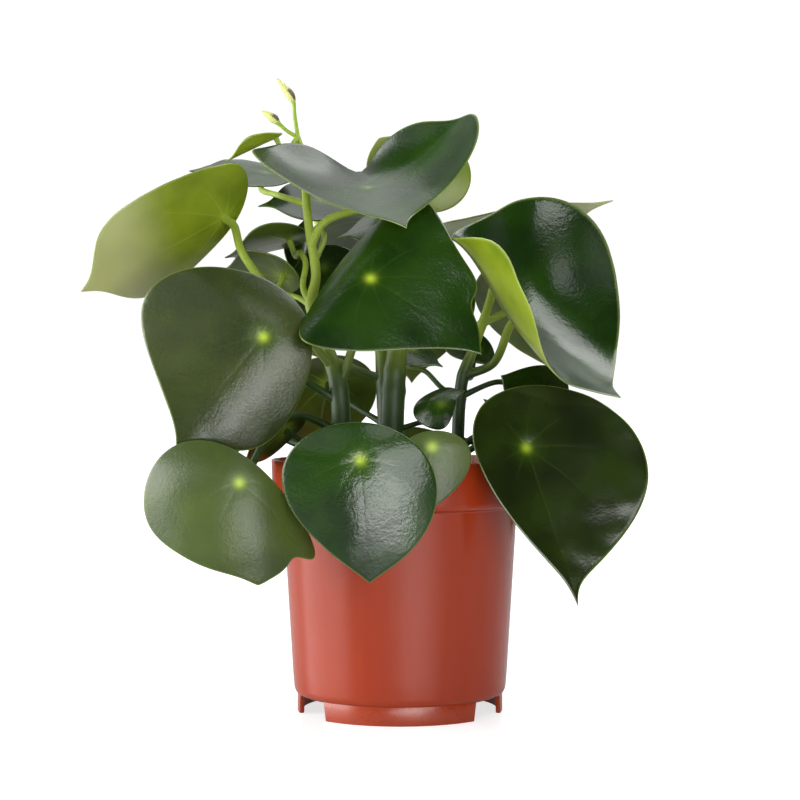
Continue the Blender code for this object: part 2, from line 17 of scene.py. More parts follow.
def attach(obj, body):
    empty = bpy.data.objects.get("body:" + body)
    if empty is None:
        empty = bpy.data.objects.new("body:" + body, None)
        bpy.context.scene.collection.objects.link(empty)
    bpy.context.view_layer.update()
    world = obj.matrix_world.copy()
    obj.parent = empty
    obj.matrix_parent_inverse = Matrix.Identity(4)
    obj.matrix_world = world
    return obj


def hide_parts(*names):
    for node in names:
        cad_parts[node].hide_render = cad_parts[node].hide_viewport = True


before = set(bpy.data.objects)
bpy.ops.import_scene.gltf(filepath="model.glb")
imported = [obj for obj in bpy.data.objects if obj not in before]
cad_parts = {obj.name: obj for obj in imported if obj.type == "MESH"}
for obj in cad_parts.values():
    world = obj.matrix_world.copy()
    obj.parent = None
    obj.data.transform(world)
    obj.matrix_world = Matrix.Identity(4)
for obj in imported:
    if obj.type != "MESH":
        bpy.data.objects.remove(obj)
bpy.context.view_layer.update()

MM = 0.001

# %% [markdown]
# The camera. The photograph is a product shot taken from just above the pot's rim, nearly level,
# with a long lens from almost a metre away, so that the pot's sides stay almost parallel. The
# focal length follows from the pot's real width and its width in pixels.

# %% Camera
PHOTO_SIZE = 800
FOCAL_PIXELS = 1995
SENSOR = 36.0
CAMERA_PLACE = (0.0, -0.932, 0.1567)
CAMERA_PITCH = 0.013


def placed(name, data):
    """A new object in the scene."""
    obj = bpy.data.objects.new(name, data)
    bpy.context.scene.collection.objects.link(obj)
    return obj


camera = placed("camera", bpy.data.cameras.new("camera"))
camera.location = CAMERA_PLACE
camera.rotation_euler = (math.pi / 2 - CAMERA_PITCH, 0.0, 0.0)
camera.data.sensor_width = SENSOR
camera.data.lens = FOCAL_PIXELS * SENSOR / PHOTO_SIZE
bpy.context.scene.camera = camera
print("lens in mm:", round(camera.data.lens, 1))

# %% [markdown]
# Node maths. A material or a Geometry Nodes tree is a graph of small nodes, and a formula written
# out one node at a time can't be read. So one class wraps an output socket, and Python's own
# operators add the nodes: 1 - mask * 0.5 becomes two Math nodes. The same class serves shaders
# and geometry, and numbers or vectors.

# %% A socket that does arithmetic
class Wire:
    """A node's output socket. Arithmetic on it adds Math or Vector Math nodes to its tree."""

    def __init__(self, socket):
        self.socket = socket
        self.tree = socket.id_data
        self.vector = socket.type == "VECTOR"

    __add__ = __radd__ = lambda a, b: maths("ADD", a, b)
    __sub__ = lambda a, b: maths("SUBTRACT", a, b)
    __rsub__ = lambda a, b: maths("SUBTRACT", b, a)
    __mul__ = __rmul__ = lambda a, b: maths("MULTIPLY", a, b)
    __truediv__ = lambda a, b: maths("DIVIDE", a, b)
    __pow__ = lambda a, b: maths("POWER", a, b)
    __neg__ = lambda a: maths("MULTIPLY", a, -1.0)


def add(tree, kind, settings=None, inputs=None):
    """Adds a node: its settings first, then its inputs by name or in order. Returns its outputs."""
    node = tree.nodes.new(kind)
    for name, value in (settings or {}).items():
        setattr(node, name, value)
    live = [s for s in node.inputs if s.enabled]
    given = inputs if isinstance(inputs, dict) else dict(enumerate(inputs or ()))
    for name, value in given.items():
        socket = live[name] if isinstance(name, int) else next(s for s in live if s.name == name)
        for item in value if isinstance(value, list) else [value]:
            if isinstance(item, Wire):
                tree.links.new(item.socket, socket)
            else:
                socket.default_value = item
    return {s.name: Wire(s) for s in node.outputs if s.enabled}


def maths(operation, *values):
    """One Math node, or one Vector Math node where a value is a vector."""
    wires = [v for v in values if isinstance(v, Wire)]
    vectors = [v for v in wires if v.vector]
    kind = "ShaderNodeVectorMath" if vectors else "ShaderNodeMath"
    if vectors and operation == "MULTIPLY":
        operation = "SCALE"
        values = (vectors[0], next(v for v in values if v is not vectors[0]))
    made = add(wires[0].tree, kind, {"operation": operation}, values)
    return next(iter(made.values()))


def bell(distance, width):
    """1 where the distance is 0, falling smoothly to 0 a little past the width."""
    share = distance / width
    return maths("EXPONENT", -(share * share))


def above(value, low, high):
    """0 below low, 1 above high, and smooth between them."""
    made = add(value.tree, "ShaderNodeMapRange", {"interpolation_type": "SMOOTHSTEP"},
               {"Value": value, "From Min": low, "From Max": high})
    return made["Result"]


def cloud(vector, scale, detail=2.0):
    """Noise from 0 to 1 in patches of about 1 / scale."""
    return add(vector.tree, "ShaderNodeTexNoise", {}, {"Vector": vector, "Scale": scale,
                                                       "Detail": detail})["Fac"]


def split(vector):
    parts = add(vector.tree, "ShaderNodeSeparateXYZ", {}, (vector,))
    return parts["X"], parts["Y"], parts["Z"]


def combined(x, y, z):
    return add(x.tree, "ShaderNodeCombineXYZ", {}, (x, y, z))["Vector"]


# %% [markdown]
# Colours are read off the photograph as ordinary screen values from 0 to 255. Blender's shaders
# work on light, so each one is first made linear. Every finish varies with the place on its own
# object, so each material comes with that place.

# %% Colours and materials
def linear(tone):
    """A screen colour, 0 to 255 each, as linear light with full alpha. A wire stays a wire."""
    if isinstance(tone, Wire):
        return tone
    return (*(((c / 255 + 0.055) / 1.055) ** 2.4 for c in tone), 1.0)


def painted(tone, *layers):
    """The tone with more colours laid over it, each as its mask from 0 to 1 and its colour."""
    for mask, over in layers:
        tone = add(mask.tree, "ShaderNodeMix", {"data_type": "RGBA"},
                   {"Factor": mask, "A": linear(tone), "B": linear(over)})["Result"]
    return tone


def material(name):
    """A new material, its Principled shader and the place on the object."""
    mat = bpy.data.materials.new(name)
    mat.use_nodes = True
    place = add(mat.node_tree, "ShaderNodeTexCoord")["Object"]
    return mat, mat.node_tree.nodes["Principled BSDF"], place


def plug(shader, **links):
    """Sets or links the shader's inputs; an underscore in a name stands for a space."""
    for name, value in links.items():
        socket = shader.inputs[name.replace("_", " ")]
        if isinstance(value, Wire):
            value.tree.links.new(value.socket, socket)
        else:
            socket.default_value = value


def bump(height, strength, distance, normal=None):
    inputs = {"Height": height, "Strength": strength, "Distance": distance}
    if normal is not None:
        inputs["Normal"] = normal
    return add(height.tree, "ShaderNodeBump", {}, inputs)["Normal"]


def streaks_along_z(place, squeeze, scale, detail):
    """Noise that is squeezed along Z, so that its patches become upright streaks."""
    x, y, z = split(place)
    return cloud(combined(x, y, z * squeeze), scale, detail)


# %% [markdown]
# Studio light. Glossy leaves show the room that they stand in: pale patches where they mirror a
# light and nearly black green where they mirror the dark. Each blade's normal, worked out where
# the photograph has a pale patch, tells the direction of a light, and the soft lights stand
# there. The world is bright behind the plant and dim behind the camera. World and floor glow
# white for the camera's own rays alone, so that the background is clean while it adds little
# light. Near the pot the floor glows less, which leaves room for a shadow.

# %% Floor and lights
SEEN_GLOW = 1.05
WORLD_BACK = 0.70
WORLD_FRONT = 0.04
WORLD_FADE = (-0.2, 0.9)
FLOOR_RADIUS = 8.0
FLOOR_SIDES = 64
FLOOR_FADE = (0.25, 1.2)
FLOOR_GLOW = 0.72
FLOOR_BOUNCE = 0.10
SOFT_LIGHTS = {  # place, width and height, power in watts
    "left_softbox": ((-0.62, -1.05, 0.72), (0.80, 0.70), 1.2),
    "left_wall": ((-1.20, -0.10, 0.35), (1.40, 1.20), 38.0),
    "right_strip": ((0.40, -1.05, 0.27), (0.70, 0.38), 4.2),
    "high_front_strip": ((0.20, -0.95, 0.88), (0.40, 0.36), 1.0),
    "low_front_strip": ((0.10, -0.72, 0.05), (0.44, 0.08), 1.2),
    "right_top_softbox": ((0.60, 0.05, 1.21), (0.80, 0.80), 10.0),
    "back_softbox": ((0.10, 0.45, 1.35), (1.30, 0.90), 4.5),
}
AIM = Vector((0.0, 0.0, 0.17))


def new_mesh(name, points, edges=(), faces=()):
    mesh = bpy.data.meshes.new(name)
    mesh.from_pydata([tuple(p) for p in points], list(edges), list(faces))
    return mesh


bpy.context.scene.view_settings.view_transform = "Standard"
world = bpy.data.worlds.new("studio")
bpy.context.scene.world = world
world.use_nodes = True
sky = world.node_tree
_, towards_back, _ = split(add(sky, "ShaderNodeTexCoord")["Generated"])
seen = add(sky, "ShaderNodeLightPath")["Is Camera Ray"]
room = WORLD_FRONT + (WORLD_BACK - WORLD_FRONT) * above(towards_back, *WORLD_FADE)
plug(sky.nodes["Background"], Color=linear((255, 255, 255)),
     Strength=room * (1 - seen) + seen * SEEN_GLOW)

for name, (place, size, power) in SOFT_LIGHTS.items():
    lamp = placed(name, bpy.data.lights.new(name, "AREA"))
    lamp.data.shape = "RECTANGLE"
    lamp.data.size, lamp.data.size_y = size
    lamp.data.energy = power
    lamp.location = place
    lamp.visible_camera = False
    lamp.rotation_euler = (AIM - lamp.location).to_track_quat("-Z", "Y").to_euler()

sweep, sweep_shader, place = material("white_sweep")
tone = painted((170, 170, 170), (cloud(place, 3.0), (165, 165, 166)))
x, y, _ = split(place)
far = above(maths("SQRT", x * x + y * y), *FLOOR_FADE)
seen = add(place.tree, "ShaderNodeLightPath")["Is Camera Ray"]
glow = FLOOR_BOUNCE + seen * (FLOOR_GLOW - FLOOR_BOUNCE + (SEEN_GLOW - FLOOR_GLOW) * far)
plug(sweep_shader, Base_Color=tone, Roughness=0.3, Emission_Strength=1.0,
     Emission_Color=combined(glow, glow, glow))
turns = [math.tau * i / FLOOR_SIDES for i in range(FLOOR_SIDES)]
floor = placed("floor", new_mesh(
    "floor", [(FLOOR_RADIUS * math.cos(a), FLOOR_RADIUS * math.sin(a), 0.0) for a in turns],
    faces=[tuple(range(FLOOR_SIDES))]))
floor.data.materials.append(sweep)
print(len(SOFT_LIGHTS), "soft lights")

# %% [markdown]
# The leaves. A peperomia's leaf is a shield: the stalk meets it inside the blade and not at the
# edge. Five landmarks tell each leaf: the spot where the stalk meets it, the tip, the heel
# opposite the tip, and the widest points of its left and right margins, seen from above with the
# tip down. They are the construction model's own, in millimetres.
#
# Shape numbers bend the blades that need it. The drop moves the widest place towards the heel,
# the point draws out the tip, and a large curl bends the sides late. Folds rise beside the heel,
# and single quarters are lifted. A dent in the margin is its angle from the tip, its depth as a
# share and its width; a negative one is a bulge.

# %% The leaves' landmarks
LEAVES = {  # spot, tip, heel, left, right
    "crown": ((-15, -8, 243), (3, -50, 221), (-18, 16, 252), (-67, -22, 256), (35, -18, 270)),
    "left_high": ((-82, -2, 230), (-145, -25, 194), (-71, -4, 251), (-107, 12, 199), (-123, -38, 232)),
    "left_front": ((-60, -58, 173), (-98, -60, 125), (-48, -48, 191), (-111, -48, 194), (-51, -53, 134)),
    "left_low": ((-69, -76, 110), (-61, -74, 66), (-84, -68, 128), (-110, -66, 93), (-37, -56, 79)),
    "front_low": ((-17, -80, 120), (-13, -78, 67), (-16, -76, 136), (-51, -72, 111), (16, -74, 107)),
    "front_small": ((14, -66, 125), (13, -66, 97), (17, -63, 132), (0, -63, 121), (31, -62, 119)),
    "right_cupped": ((56, -14, 184), (98, -46, 146), (50, 2, 234), (53, -62, 193), (99, 2, 202)),
    "right_low": ((56, -48, 124), (78, -62, 55), (69, -36, 151), (32, -58, 128), (111, -40, 115)),
    "right_back": ((52, 50, 231), (103, 32, 240), (15, 55, 227), (50, 24, 235), (70, 78, 224)),
    "middle": ((-13, -48, 199), (36, -55, 165), (-6, -22, 229), (-46, -63, 172), (26, -38, 212)),
    "crown_back": ((12, 30, 250), (-10, 27, 270), (25, 33, 237), (-10, 31, 244), (29, 35, 265)),
    "young": ((-58, -2, 267), (-81, -8, 255), (-55, -1, 269), (-71, 6, 268), (-69, -12, 266)),
    "left_upper": ((-65, 28, 254), (-99, 5, 252), (-51, 35, 252), (-75, 53, 262), (-71, 7, 245)),
    "under_crown": ((-39, 34, 241), (-67, 10, 236), (-24, 46, 238), (-48, 54, 251), (-38, 8, 229)),
    "hooked": ((-7, 14, 229), (-30, 2, 220), (2, 20, 233), (-10, 30, 236), (-9, 0, 219)),
    "left_roof": ((-53, 20, 221), (-82, 2, 211), (-44, 26, 223), (-67, 44, 216), (-63, -6, 226)),
    "left_inner": ((-55, 10, 203), (-86, 16, 206), (-47, 8, 199), (-73, 28, 191), (-68, -8, 214)),
    "left_upright": ((-49, 50, 214), (-46, 56, 236), (-49, 46, 206), (-42, 46, 220), (-57, 48, 220)),
    "shaded": ((-37, 29, 208), (-47, 20, 180), (-31, 33, 219), (-52, 26, 205), (-16, 29, 200)),
    "right_hidden": ((65, -17, 146), (46, -19, 156), (75, -15, 139), (73, -7, 159), (56, -25, 133)),
    "right_tucked": ((53, -8, 134), (39, 4, 145), (60, -14, 128), (60, 2, 144), (44, -12, 125)),
    "under_middle": ((37, 31, 169), (16, 37, 174), (45, 28, 163), (36, 45, 178), (28, 19, 164)),
    "inner_small": ((6, 12, 168), (20, -2, 160), (0, 18, 173), (2, 0, 161), (12, 28, 171)),
    "left_tucked": ((-53, -16, 131), (-72, -38, 114), (-44, -8, 137), (-57, -10, 121), (-62, -32, 131)),
    "inner_low": ((19, -22, 143), (30, -12, 149), (6, -18, 141), (20, -26, 132), (17, -8, 149)),
    "back_high": ((-14, 64, 234), (-18, 106, 206), (-12, 48, 238), (18, 72, 225), (-48, 76, 223)),
    "back_middle": ((8, 74, 200), (6, 94, 152), (9, 60, 216), (38, 74, 192), (-24, 80, 190)),
    "back_left": ((-72, 44, 178), (-92, 66, 134), (-64, 34, 196), (-52, 70, 172), (-108, 34, 174)),
    "back_right": ((64, 50, 196), (88, 70, 152), (54, 42, 212), (94, 36, 188), (40, 74, 188)),
    "back_low": ((4, 84, 112), (2, 92, 62), (4, 76, 130), (36, 78, 104), (-30, 82, 102)),
    "back_inner": ((-36, 62, 152), (-44, 78, 110), (-33, 50, 166), (-12, 66, 146), (-62, 60, 144)),
    "side_left": ((-92, 16, 118), (-98, 20, 74), (-84, 12, 134), (-88, 46, 108), (-94, -16, 108)),
    "side_right": ((78, 34, 116), (94, 46, 68), (70, 28, 130), (96, 8, 108), (66, 64, 108)),
}
SHAPES = {
    "crown": dict(point=11, fold_left=12, fold_right=17, heel_left=2, heel_right=8, tip_left=-1,
                  dents=((135, -0.12, 22),)),
    "left_high": dict(drop=0.6, point=5, dents=((222, 0.25, 28),)),
    "left_low": dict(drop=0.35, dents=((58, 0.2, 26), (322, -0.07, 25))),
    "front_low": dict(drop=0.7, point=1.5),
    "front_small": dict(drop=0.7, point=1.5),
    "right_cupped": dict(drop=0.5, point=5, curl=2.6, heel_left=-9, tip_left=-6,
                         dents=((226, -0.45, 19), (140, -0.1, 34))),
    "right_low": dict(drop=1.1, point=8),
    "right_back": dict(point=8),
    "middle": dict(drop=0.9, dents=((228, 0.2, 22), (52, 0.14, 20))),
    "crown_back": dict(drop=0.3, point=1),
    "young": dict(point=1.5),
    "under_crown": dict(point=6),
    "hooked": dict(point=6),
    "left_upright": dict(point=2),
    "right_hidden": dict(point=1),
    "side_left": dict(point=1),
}
print(len(LEAVES), "leaves")

# %% [markdown]
# From landmarks to numbers. A blade is drawn on a flat plane through its spot and then lifted off
# it. The plane's axes run along the midrib, across it and straight up. What is the same for a
# whole blade is worked out here, so that the tree below gets sizes it can name. Large blades get
# more sectors and rings, so that every margin looks equally smooth.

# %% Sizes of one blade
LARGE_BLADE = 52.0 * MM
LARGE_SIZES = {"Sectors": 128, "Rings": 30, "Dimple": 0.6 * MM, "Ruffle": 2.4 * MM}
SMALL_SIZES = {"Sectors": 80, "Rings": 20, "Dimple": 0.3 * MM, "Ruffle": 1.2 * MM}
THICKNESS = 0.9 * MM
GROOVE = 0.06 * MM
NO_DENT = (0.0, 0.0, 1.0)


def unit(v):
    return v / np.linalg.norm(v)


def blade_sizes(spot, tip, heel, left, right, drop=0.8, point=3.0, curl=2.0, fold_left=0.0,
                fold_right=0.0, heel_left=0.0, heel_right=0.0, tip_left=0.0, dents=()):
    """The blade tree's inputs by name, in metres."""
    marks = {k: (np.array(v, float) - spot) * MM
             for k, v in dict(tip=tip, heel=heel, left=left, right=right).items()}
    normal = unit(np.cross(marks["tip"] - marks["heel"], marks["right"] - marks["left"]))
    along = unit(marks["tip"] - normal * marks["tip"].dot(normal))
    across = np.cross(normal, along)
    flat = {k: np.array([v.dot(along), v.dot(across), 0.0]) for k, v in marks.items()}
    up = {k: v.dot(normal) for k, v in marks.items()}
    length, back = flat["tip"][0], -flat["heel"][0]
    widest = 2 * math.atan(math.sqrt(drop + 1))
    cosine = math.cos(widest)
    body_tip = np.array([length - point * MM, 0.0, 0.0])
    middle = body_tip * (1 + cosine) / 2 + flat["heel"] * (1 - cosine) / 2
    lifts = {}
    for side in ("right", "left"):
        u = flat[side][0]
        end, reach = ("tip", length) if u > 0 else ("heel", back)
        lifts[side] = up[side] - up[end] * (u / reach) ** 2
    sizes = {
        "Spot": np.array(spot, float) * MM, "Along": along, "Across": across, "Normal": normal,
        "Tip": body_tip, "Heel": flat["heel"],
        "Side difference": (flat["right"] - flat["left"]) / 2,
        "Side sum": (flat["right"] + flat["left"]) / 2 - middle,
        "Point": point * MM, "Drop": drop,
        "Side scale": 1 / (math.sin(widest) * math.sin(widest / 2) ** drop),
        "Tip reach": length, "Heel reach": back,
        "Right reach": flat["right"][1], "Left reach": -flat["left"][1],
        "Tip lift": up["tip"], "Heel lift": up["heel"],
        "Right lift": lifts["right"], "Left lift": lifts["left"], "Curl": curl,
        "Left fold": fold_left * MM, "Right fold": fold_right * MM,
        "Heel aside": flat["heel"][1], "Heel left lift": heel_left * MM,
        "Heel right lift": heel_right * MM, "Tip left lift": tip_left * MM,
        "Thickness": THICKNESS, "Groove": GROOVE,
    }
    for i, (where, depth, width) in enumerate([*dents, NO_DENT, NO_DENT][:2]):
        sizes[f"Dent {i + 1}"] = (math.radians(where), depth, math.radians(width))
    return sizes | (LARGE_SIZES if length + back > LARGE_BLADE else SMALL_SIZES)


BLADES = {name: blade_sizes(*marks, **SHAPES.get(name, {})) for name, marks in LEAVES.items()}
longest = max(BLADES, key=lambda name: BLADES[name]["Tip reach"] + BLADES[name]["Heel reach"])
print("longest blade:", longest)

# %% [markdown]
# Trees that make geometry. Each starts with a geometry and named inputs, and ends in real
# geometry with its material. Three helpers keep the trees below short.

# %% Helpers for trees
def new_tree(name, inputs):
    """A tree with a geometry input and those in {name: type}. Also returns their wires."""
    tree = bpy.data.node_groups.new(name, "GeometryNodeTree")
    tree.is_modifier = True
    for label, kind in {"Geometry": "Geometry", **inputs}.items():
        tree.interface.new_socket(label, in_out="INPUT", socket_type="NodeSocket" + kind)
    tree.interface.new_socket("Geometry", in_out="OUTPUT", socket_type="NodeSocketGeometry")
    return tree, add(tree, "NodeGroupInput")


def step(tree, kind, settings=None, **inputs):
    """Adds a Geometry Nodes node. Returns its first output."""
    named = {name.replace("_", " "): value for name, value in inputs.items()}
    return next(iter(add(tree, "GeometryNode" + kind, settings, named).values()))


def close_tree(tree, geometry, finish=None):
    """Ends a tree with real geometry, and with its material where the tree has but one."""
    geometry = step(tree, "RealizeInstances", Geometry=geometry)
    if finish is not None:
        geometry = step(tree, "SetMaterial", Geometry=geometry, Material=finish)
    add(tree, "NodeGroupOutput", {}, {"Geometry": geometry})
    return tree


# %% [markdown]
# The blade tree. One rule makes all the leaves, as fields over a grid whose first direction runs
# from the spot to the margin and whose second goes round. The margin is a closed wave between
# tip and heel that swells to the two sides. The lift bends it along and across the midrib, and
# the stalk's dimple, shallow grooves over the veins and a slow ruffle are added to it. Two
# sheets lie half a thickness above and below that surface and meet in a round margin. A sine
# brings the rings closer together there, where the round edge needs them.

# %% The blade tree
POINT_WIDTH = 0.3
QUARTER = 5.0
CREASE = 0.01
VEIN_COUNT = 9
VEIN_BEND = 0.35
GROOVE_WIDTH = 1.1 * MM
GROOVE_START = (1.0 * MM, 5.0 * MM)
DIMPLE_WIDTH = 4.5 * MM
RUFFLE_SCALE = 45.0
EDGE_START = 0.965
WELD = 0.000002


def vein_distance(u, v, share):
    """How far a point lies from the nearest main vein, squared, in square metres."""
    angle = maths("ARCTAN2", v, u)
    bent = angle + VEIN_BEND * share * share * maths("SINE", angle)
    around = 1 - maths("COSINE", bent * VEIN_COUNT)
    return around * (u * u + v * v) * (2 / VEIN_COUNT ** 2)


def flat_place(size, phi):
    """The margin on the flat: tip and heel, the two sides, the drawn-out point and the dents."""
    cosine = maths("COSINE", phi)
    half_sine = maths("ABSOLUTE", maths("SINE", phi / 2))
    odd = size["Side scale"] * maths("SINE", phi) * half_sine ** size["Drop"]
    rim = size["Tip"] * ((1 + cosine) / 2) + size["Heel"] * ((1 - cosine) / 2)
    rim = rim + size["Side difference"] * odd + size["Side sum"] * (odd * odd)
    near = maths("MINIMUM", phi, math.tau - phi)
    u, v, _ = split(rim)
    u = u + size["Point"] * bell(near, POINT_WIDTH)
    for dent in (size["Dent 1"], size["Dent 2"]):
        where, depth, width = split(dent)
        away = maths("ABSOLUTE", maths("WRAP", phi - where, math.pi, -math.pi))
        pulled = 1 - depth * bell(away, width)
        u = u * pulled
        v = v * pulled
    return u, v


def bend(size, u, v):
    """The lift along the midrib, across it and in each quarter, and the heel's fold."""
    front = maths("MAXIMUM", u / size["Tip reach"], 0.0)
    back = maths("MAXIMUM", -u / size["Heel reach"], 0.0)
    lift = size["Tip lift"] * front * front + size["Heel lift"] * back * back
    off = v - size["Heel aside"] * back
    for label, side, quarters in (
            ("Right", 1.0, ((back, "Heel right lift"),)),
            ("Left", -1.0, ((back, "Heel left lift"), (front, "Tip left lift")))):
        wide = maths("MAXIMUM", v * side, 0.0) / size[label + " reach"]
        lift = lift + size[label + " lift"] * wide ** size["Curl"]
        for end, quarter in quarters:
            lift = lift + size[quarter] * QUARTER * end * end * wide * wide
        # The fold's two slopes meet on the line from the spot to the heel, in a round crease
        away = maths("MAXIMUM", off * side, 0.0) / size[label + " reach"]
        ridge = maths("SQRT", away * away + CREASE) - math.sqrt(CREASE)
        ridge = ridge - away * away * (math.sqrt(1 + CREASE) - math.sqrt(CREASE))
        lift = lift + size[label + " fold"] * QUARTER * back * back * ridge
    return lift


def relief(size, u, v, share):
    """The stalk's dimple, the grooves over the veins and a slow ruffle towards the margin."""
    radius = maths("SQRT", u * u + v * v)
    groove = maths("EXPONENT", -vein_distance(u, v, share) / GROOVE_WIDTH ** 2)
    groove = groove * above(radius, *GROOVE_START) * (1 - share)
    wave = add(u.tree, "ShaderNodeTexNoise", {"noise_dimensions": "4D"},
               {"Vector": combined(u, v, 0.0), "W": size["Seed"], "Scale": RUFFLE_SCALE,
                "Detail": 1.0})["Fac"]
    ruffle = size["Ruffle"] * (wave - 0.5) * share * share
    return ruffle - size["Groove"] * groove - size["Dimple"] * bell(radius, DIMPLE_WIDTH)


def blade_tree():
    kinds = {name: "Float" if isinstance(value, float) else "Vector"
             for name, value in next(iter(BLADES.values())).items()}
    kinds |= {"Sectors": "Int", "Rings": "Int", "Seed": "Float",
              "Upper finish": "Material", "Under finish": "Material"}
    tree, size = new_tree("leaf_blade", kinds)
    grid = add(tree, "GeometryNodeMeshGrid", {}, {
        "Size X": 1.0, "Size Y": 1.0, "Vertices X": size["Rings"] + 1,
        "Vertices Y": size["Sectors"] + 1})
    out, turn, _ = split(grid["UV Map"])
    share = maths("SINE", out * (math.pi / 2))
    u, v = flat_place(size, turn * math.tau)
    u = u * share
    v = v * share
    lift = bend(size, u, v) + relief(size, u, v, share)
    place = size["Spot"] + size["Along"] * u + size["Across"] * v + size["Normal"] * lift
    sheet = step(tree, "StoreNamedAttribute", {"data_type": "FLOAT_VECTOR"},
                 Geometry=grid["Mesh"], Name="blade", Value=combined(u, v, share))
    sheet = step(tree, "SetPosition", Geometry=sheet, Position=place)
    sheet = step(tree, "MergeByDistance", Geometry=sheet, Distance=WELD)

    # Two sheets half a thickness apart from the middle, which meet in a round margin
    kept = step(tree, "InputNamedAttribute", {"data_type": "FLOAT_VECTOR"}, Name="blade")
    _, _, margin = split(kept)
    edge = maths("MAXIMUM", margin - EDGE_START, 0.0) / (1 - EDGE_START)
    half = size["Thickness"] / 2 * maths("SQRT", maths("MAXIMUM", 1 - edge * edge, 0.0))
    normal = step(tree, "InputNormal")
    sheets = []
    for side, finish in ((1.0, "Upper finish"), (-1.0, "Under finish")):
        moved = step(tree, "SetPosition", Geometry=sheet, Offset=normal * half * side)
        if side < 0:
            moved = step(tree, "FlipFaces", Mesh=moved)
        sheets.append(step(tree, "SetMaterial", Geometry=moved, Material=size[finish]))
    both = step(tree, "JoinGeometry", Geometry=sheets)
    both = step(tree, "MergeByDistance", Geometry=both, Distance=WELD)
    return close_tree(tree, step(tree, "SetShadeSmooth", Geometry=both))


BLADE_TREE = blade_tree()
print("blade tree:", len(BLADE_TREE.nodes), "nodes")

# %% [markdown]
# A modifier keeps its tree's inputs under identifiers, not under the names that a person reads,
# so one helper looks the identifiers up. It also turns the result into a plain mesh, a finished
# piece rather than a recipe.

# %% Run a tree and keep its mesh
def modify(obj, name, kind, **settings):
    """Adds a modifier with these settings."""
    modifier = obj.modifiers.new(name, kind)
    for key, value in settings.items():
        setattr(modifier, key, value)
    return modifier


def settle(obj):
    """Makes the evaluated modifiers a plain mesh."""
    graph = bpy.context.evaluated_depsgraph_get()
    mesh = bpy.data.meshes.new_from_object(obj.evaluated_get(graph))
    obj.modifiers.clear()
    obj.data = mesh


def grown(name, tree, values, mesh=None):
    """A new object whose mesh is what the tree makes of the values."""
    obj = placed(name, mesh or new_mesh(name, ()))
    modifier = modify(obj, "grown", "NODES", node_group=tree)
    for item in tree.interface.items_tree:
        if item.in_out == "INPUT" and item.name in values:
            value = values[item.name]
            if isinstance(value, (np.ndarray, tuple)):
                value = [float(c) for c in value]
            modifier[item.identifier] = value
    settle(obj)
    return obj


def dress(obj, node=None):
    """The piece rides on the plant's one body and stands for its CAD node."""
    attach(obj, "root")
    if node is not None:
        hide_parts(node)


# %% [markdown]
# The leaf's two faces. The upper one is a deep, leathery green with a clear yellow-green spot at
# the stalk, faint pale veins and a thin pale margin. Its skin is glossy but pebbled, which breaks
# a mirrored light into bright grains. The under side is a soft yellow-green, and painted sheen
# pales it towards the tip. Both read the blade's own coordinates, which the tree stored as an
# attribute, so that veins and margin follow each leaf however it is bent. One blade mirrors the
# dark room and is nearly black and smooth, one shows a greyish sheen and others a matt olive haze,
# so a table gives each kind its own numbers: that blade's darker green is painted shade, and the
# greyer, lighter greens are painted sheen. Leaves without a kind of their own get a dimmer spot,
# as painted shade, and most undersides are a darker copy, also painted shade.

# %% Finishes of the leaves
SKIN_PEBBLES = 750.0
SKIN_CREASES = 420.0
SKIN_GRAINS = 1700.0
SKIN_HEIGHT = 0.18 * MM
UNDER_SKIN_HEIGHT = 0.12 * MM
SPOT_CORE = 2.3 * MM
SPOT_HALO = 6.0 * MM
UNDER_SPOT = 5.0 * MM
VEIN_WIDTH = 0.45 * MM
VEINS_START = 3.0 * MM
VEINS_FADE = (0.15, 0.85)
MARGIN = (0.978, 0.997)
PATCHES = (0.3, 0.7)
TIP_SHEEN_SPAN = (22.0 * MM, 52.0 * MM)
SPOT_TONE = (172, 196, 54)
UPPER_KINDS = {  # dark and light green, spot, its glow, matt, wrinkled
    "leaf_upper": ((16, 40, 3), (32, 62, 6), SPOT_TONE, 0.9, 0.11, 0.6),
    # A darker, greyer copy of the green: painted shade, for a blade that mirrors the dark room.
    "leaf_upper_deep_shaded": ((20, 30, 5), (36, 50, 9), SPOT_TONE, 0.7, 0.07, 0.2),
    # A greyer, lighter green: painted sheen of a soft mirrored light.
    "leaf_upper_grey_sheen": ((40, 52, 14), (56, 68, 20), SPOT_TONE, 1.0, 0.20, 0.6),
    # A lighter olive green: painted sheen, a haze of mirrored light.
    "leaf_upper_olive_sheen": ((54, 70, 20), (72, 88, 28), SPOT_TONE, 1.0, 0.30, 0.6),
    # The same green with its spot dimmed: painted shade.
    "leaf_upper_shaded": ((16, 40, 3), (32, 62, 6), (150, 180, 60), 0.3, 0.18, 0.6),
    "leaf_upper_young": ((74, 118, 16), (100, 144, 28), (180, 205, 80), 0.6, 0.20, 0.6),
}
# The third number is how much painted sheen pales the under side towards the tip.
UNDER_KINDS = {  # dark and light green, how much it pales towards the tip
    "leaf_under": ((102, 122, 12), (132, 150, 32), 0.9),
    "leaf_under_shaded": ((46, 62, 10), (72, 92, 22), 0.15),
}


def leaf_marks(tree):
    """The place along the blade and from the spot, and masks of its veins and its margin."""
    u, v, share = split(add(tree, "ShaderNodeAttribute", {"attribute_name": "blade"})["Vector"])
    radius = maths("SQRT", u * u + v * v)
    veins = maths("EXPONENT", -vein_distance(u, v, share) / VEIN_WIDTH ** 2)
    veins = veins * above(radius, 0.0, VEINS_START) * (1 - above(share, *VEINS_FADE))
    return u, radius, veins, above(share, *MARGIN)


def leaf_skin(place):
    """Pebbles, creases and fine grains of the skin, as a height from 0 to about 1.5."""
    cells = add(place.tree, "ShaderNodeTexVoronoi", {}, {"Vector": place, "Scale": SKIN_PEBBLES})
    creases = cloud(place, SKIN_CREASES, 3.0)
    return cells["Distance"] * 0.35 + creases * 0.9 + cloud(place, SKIN_GRAINS, 1.0) * 0.3


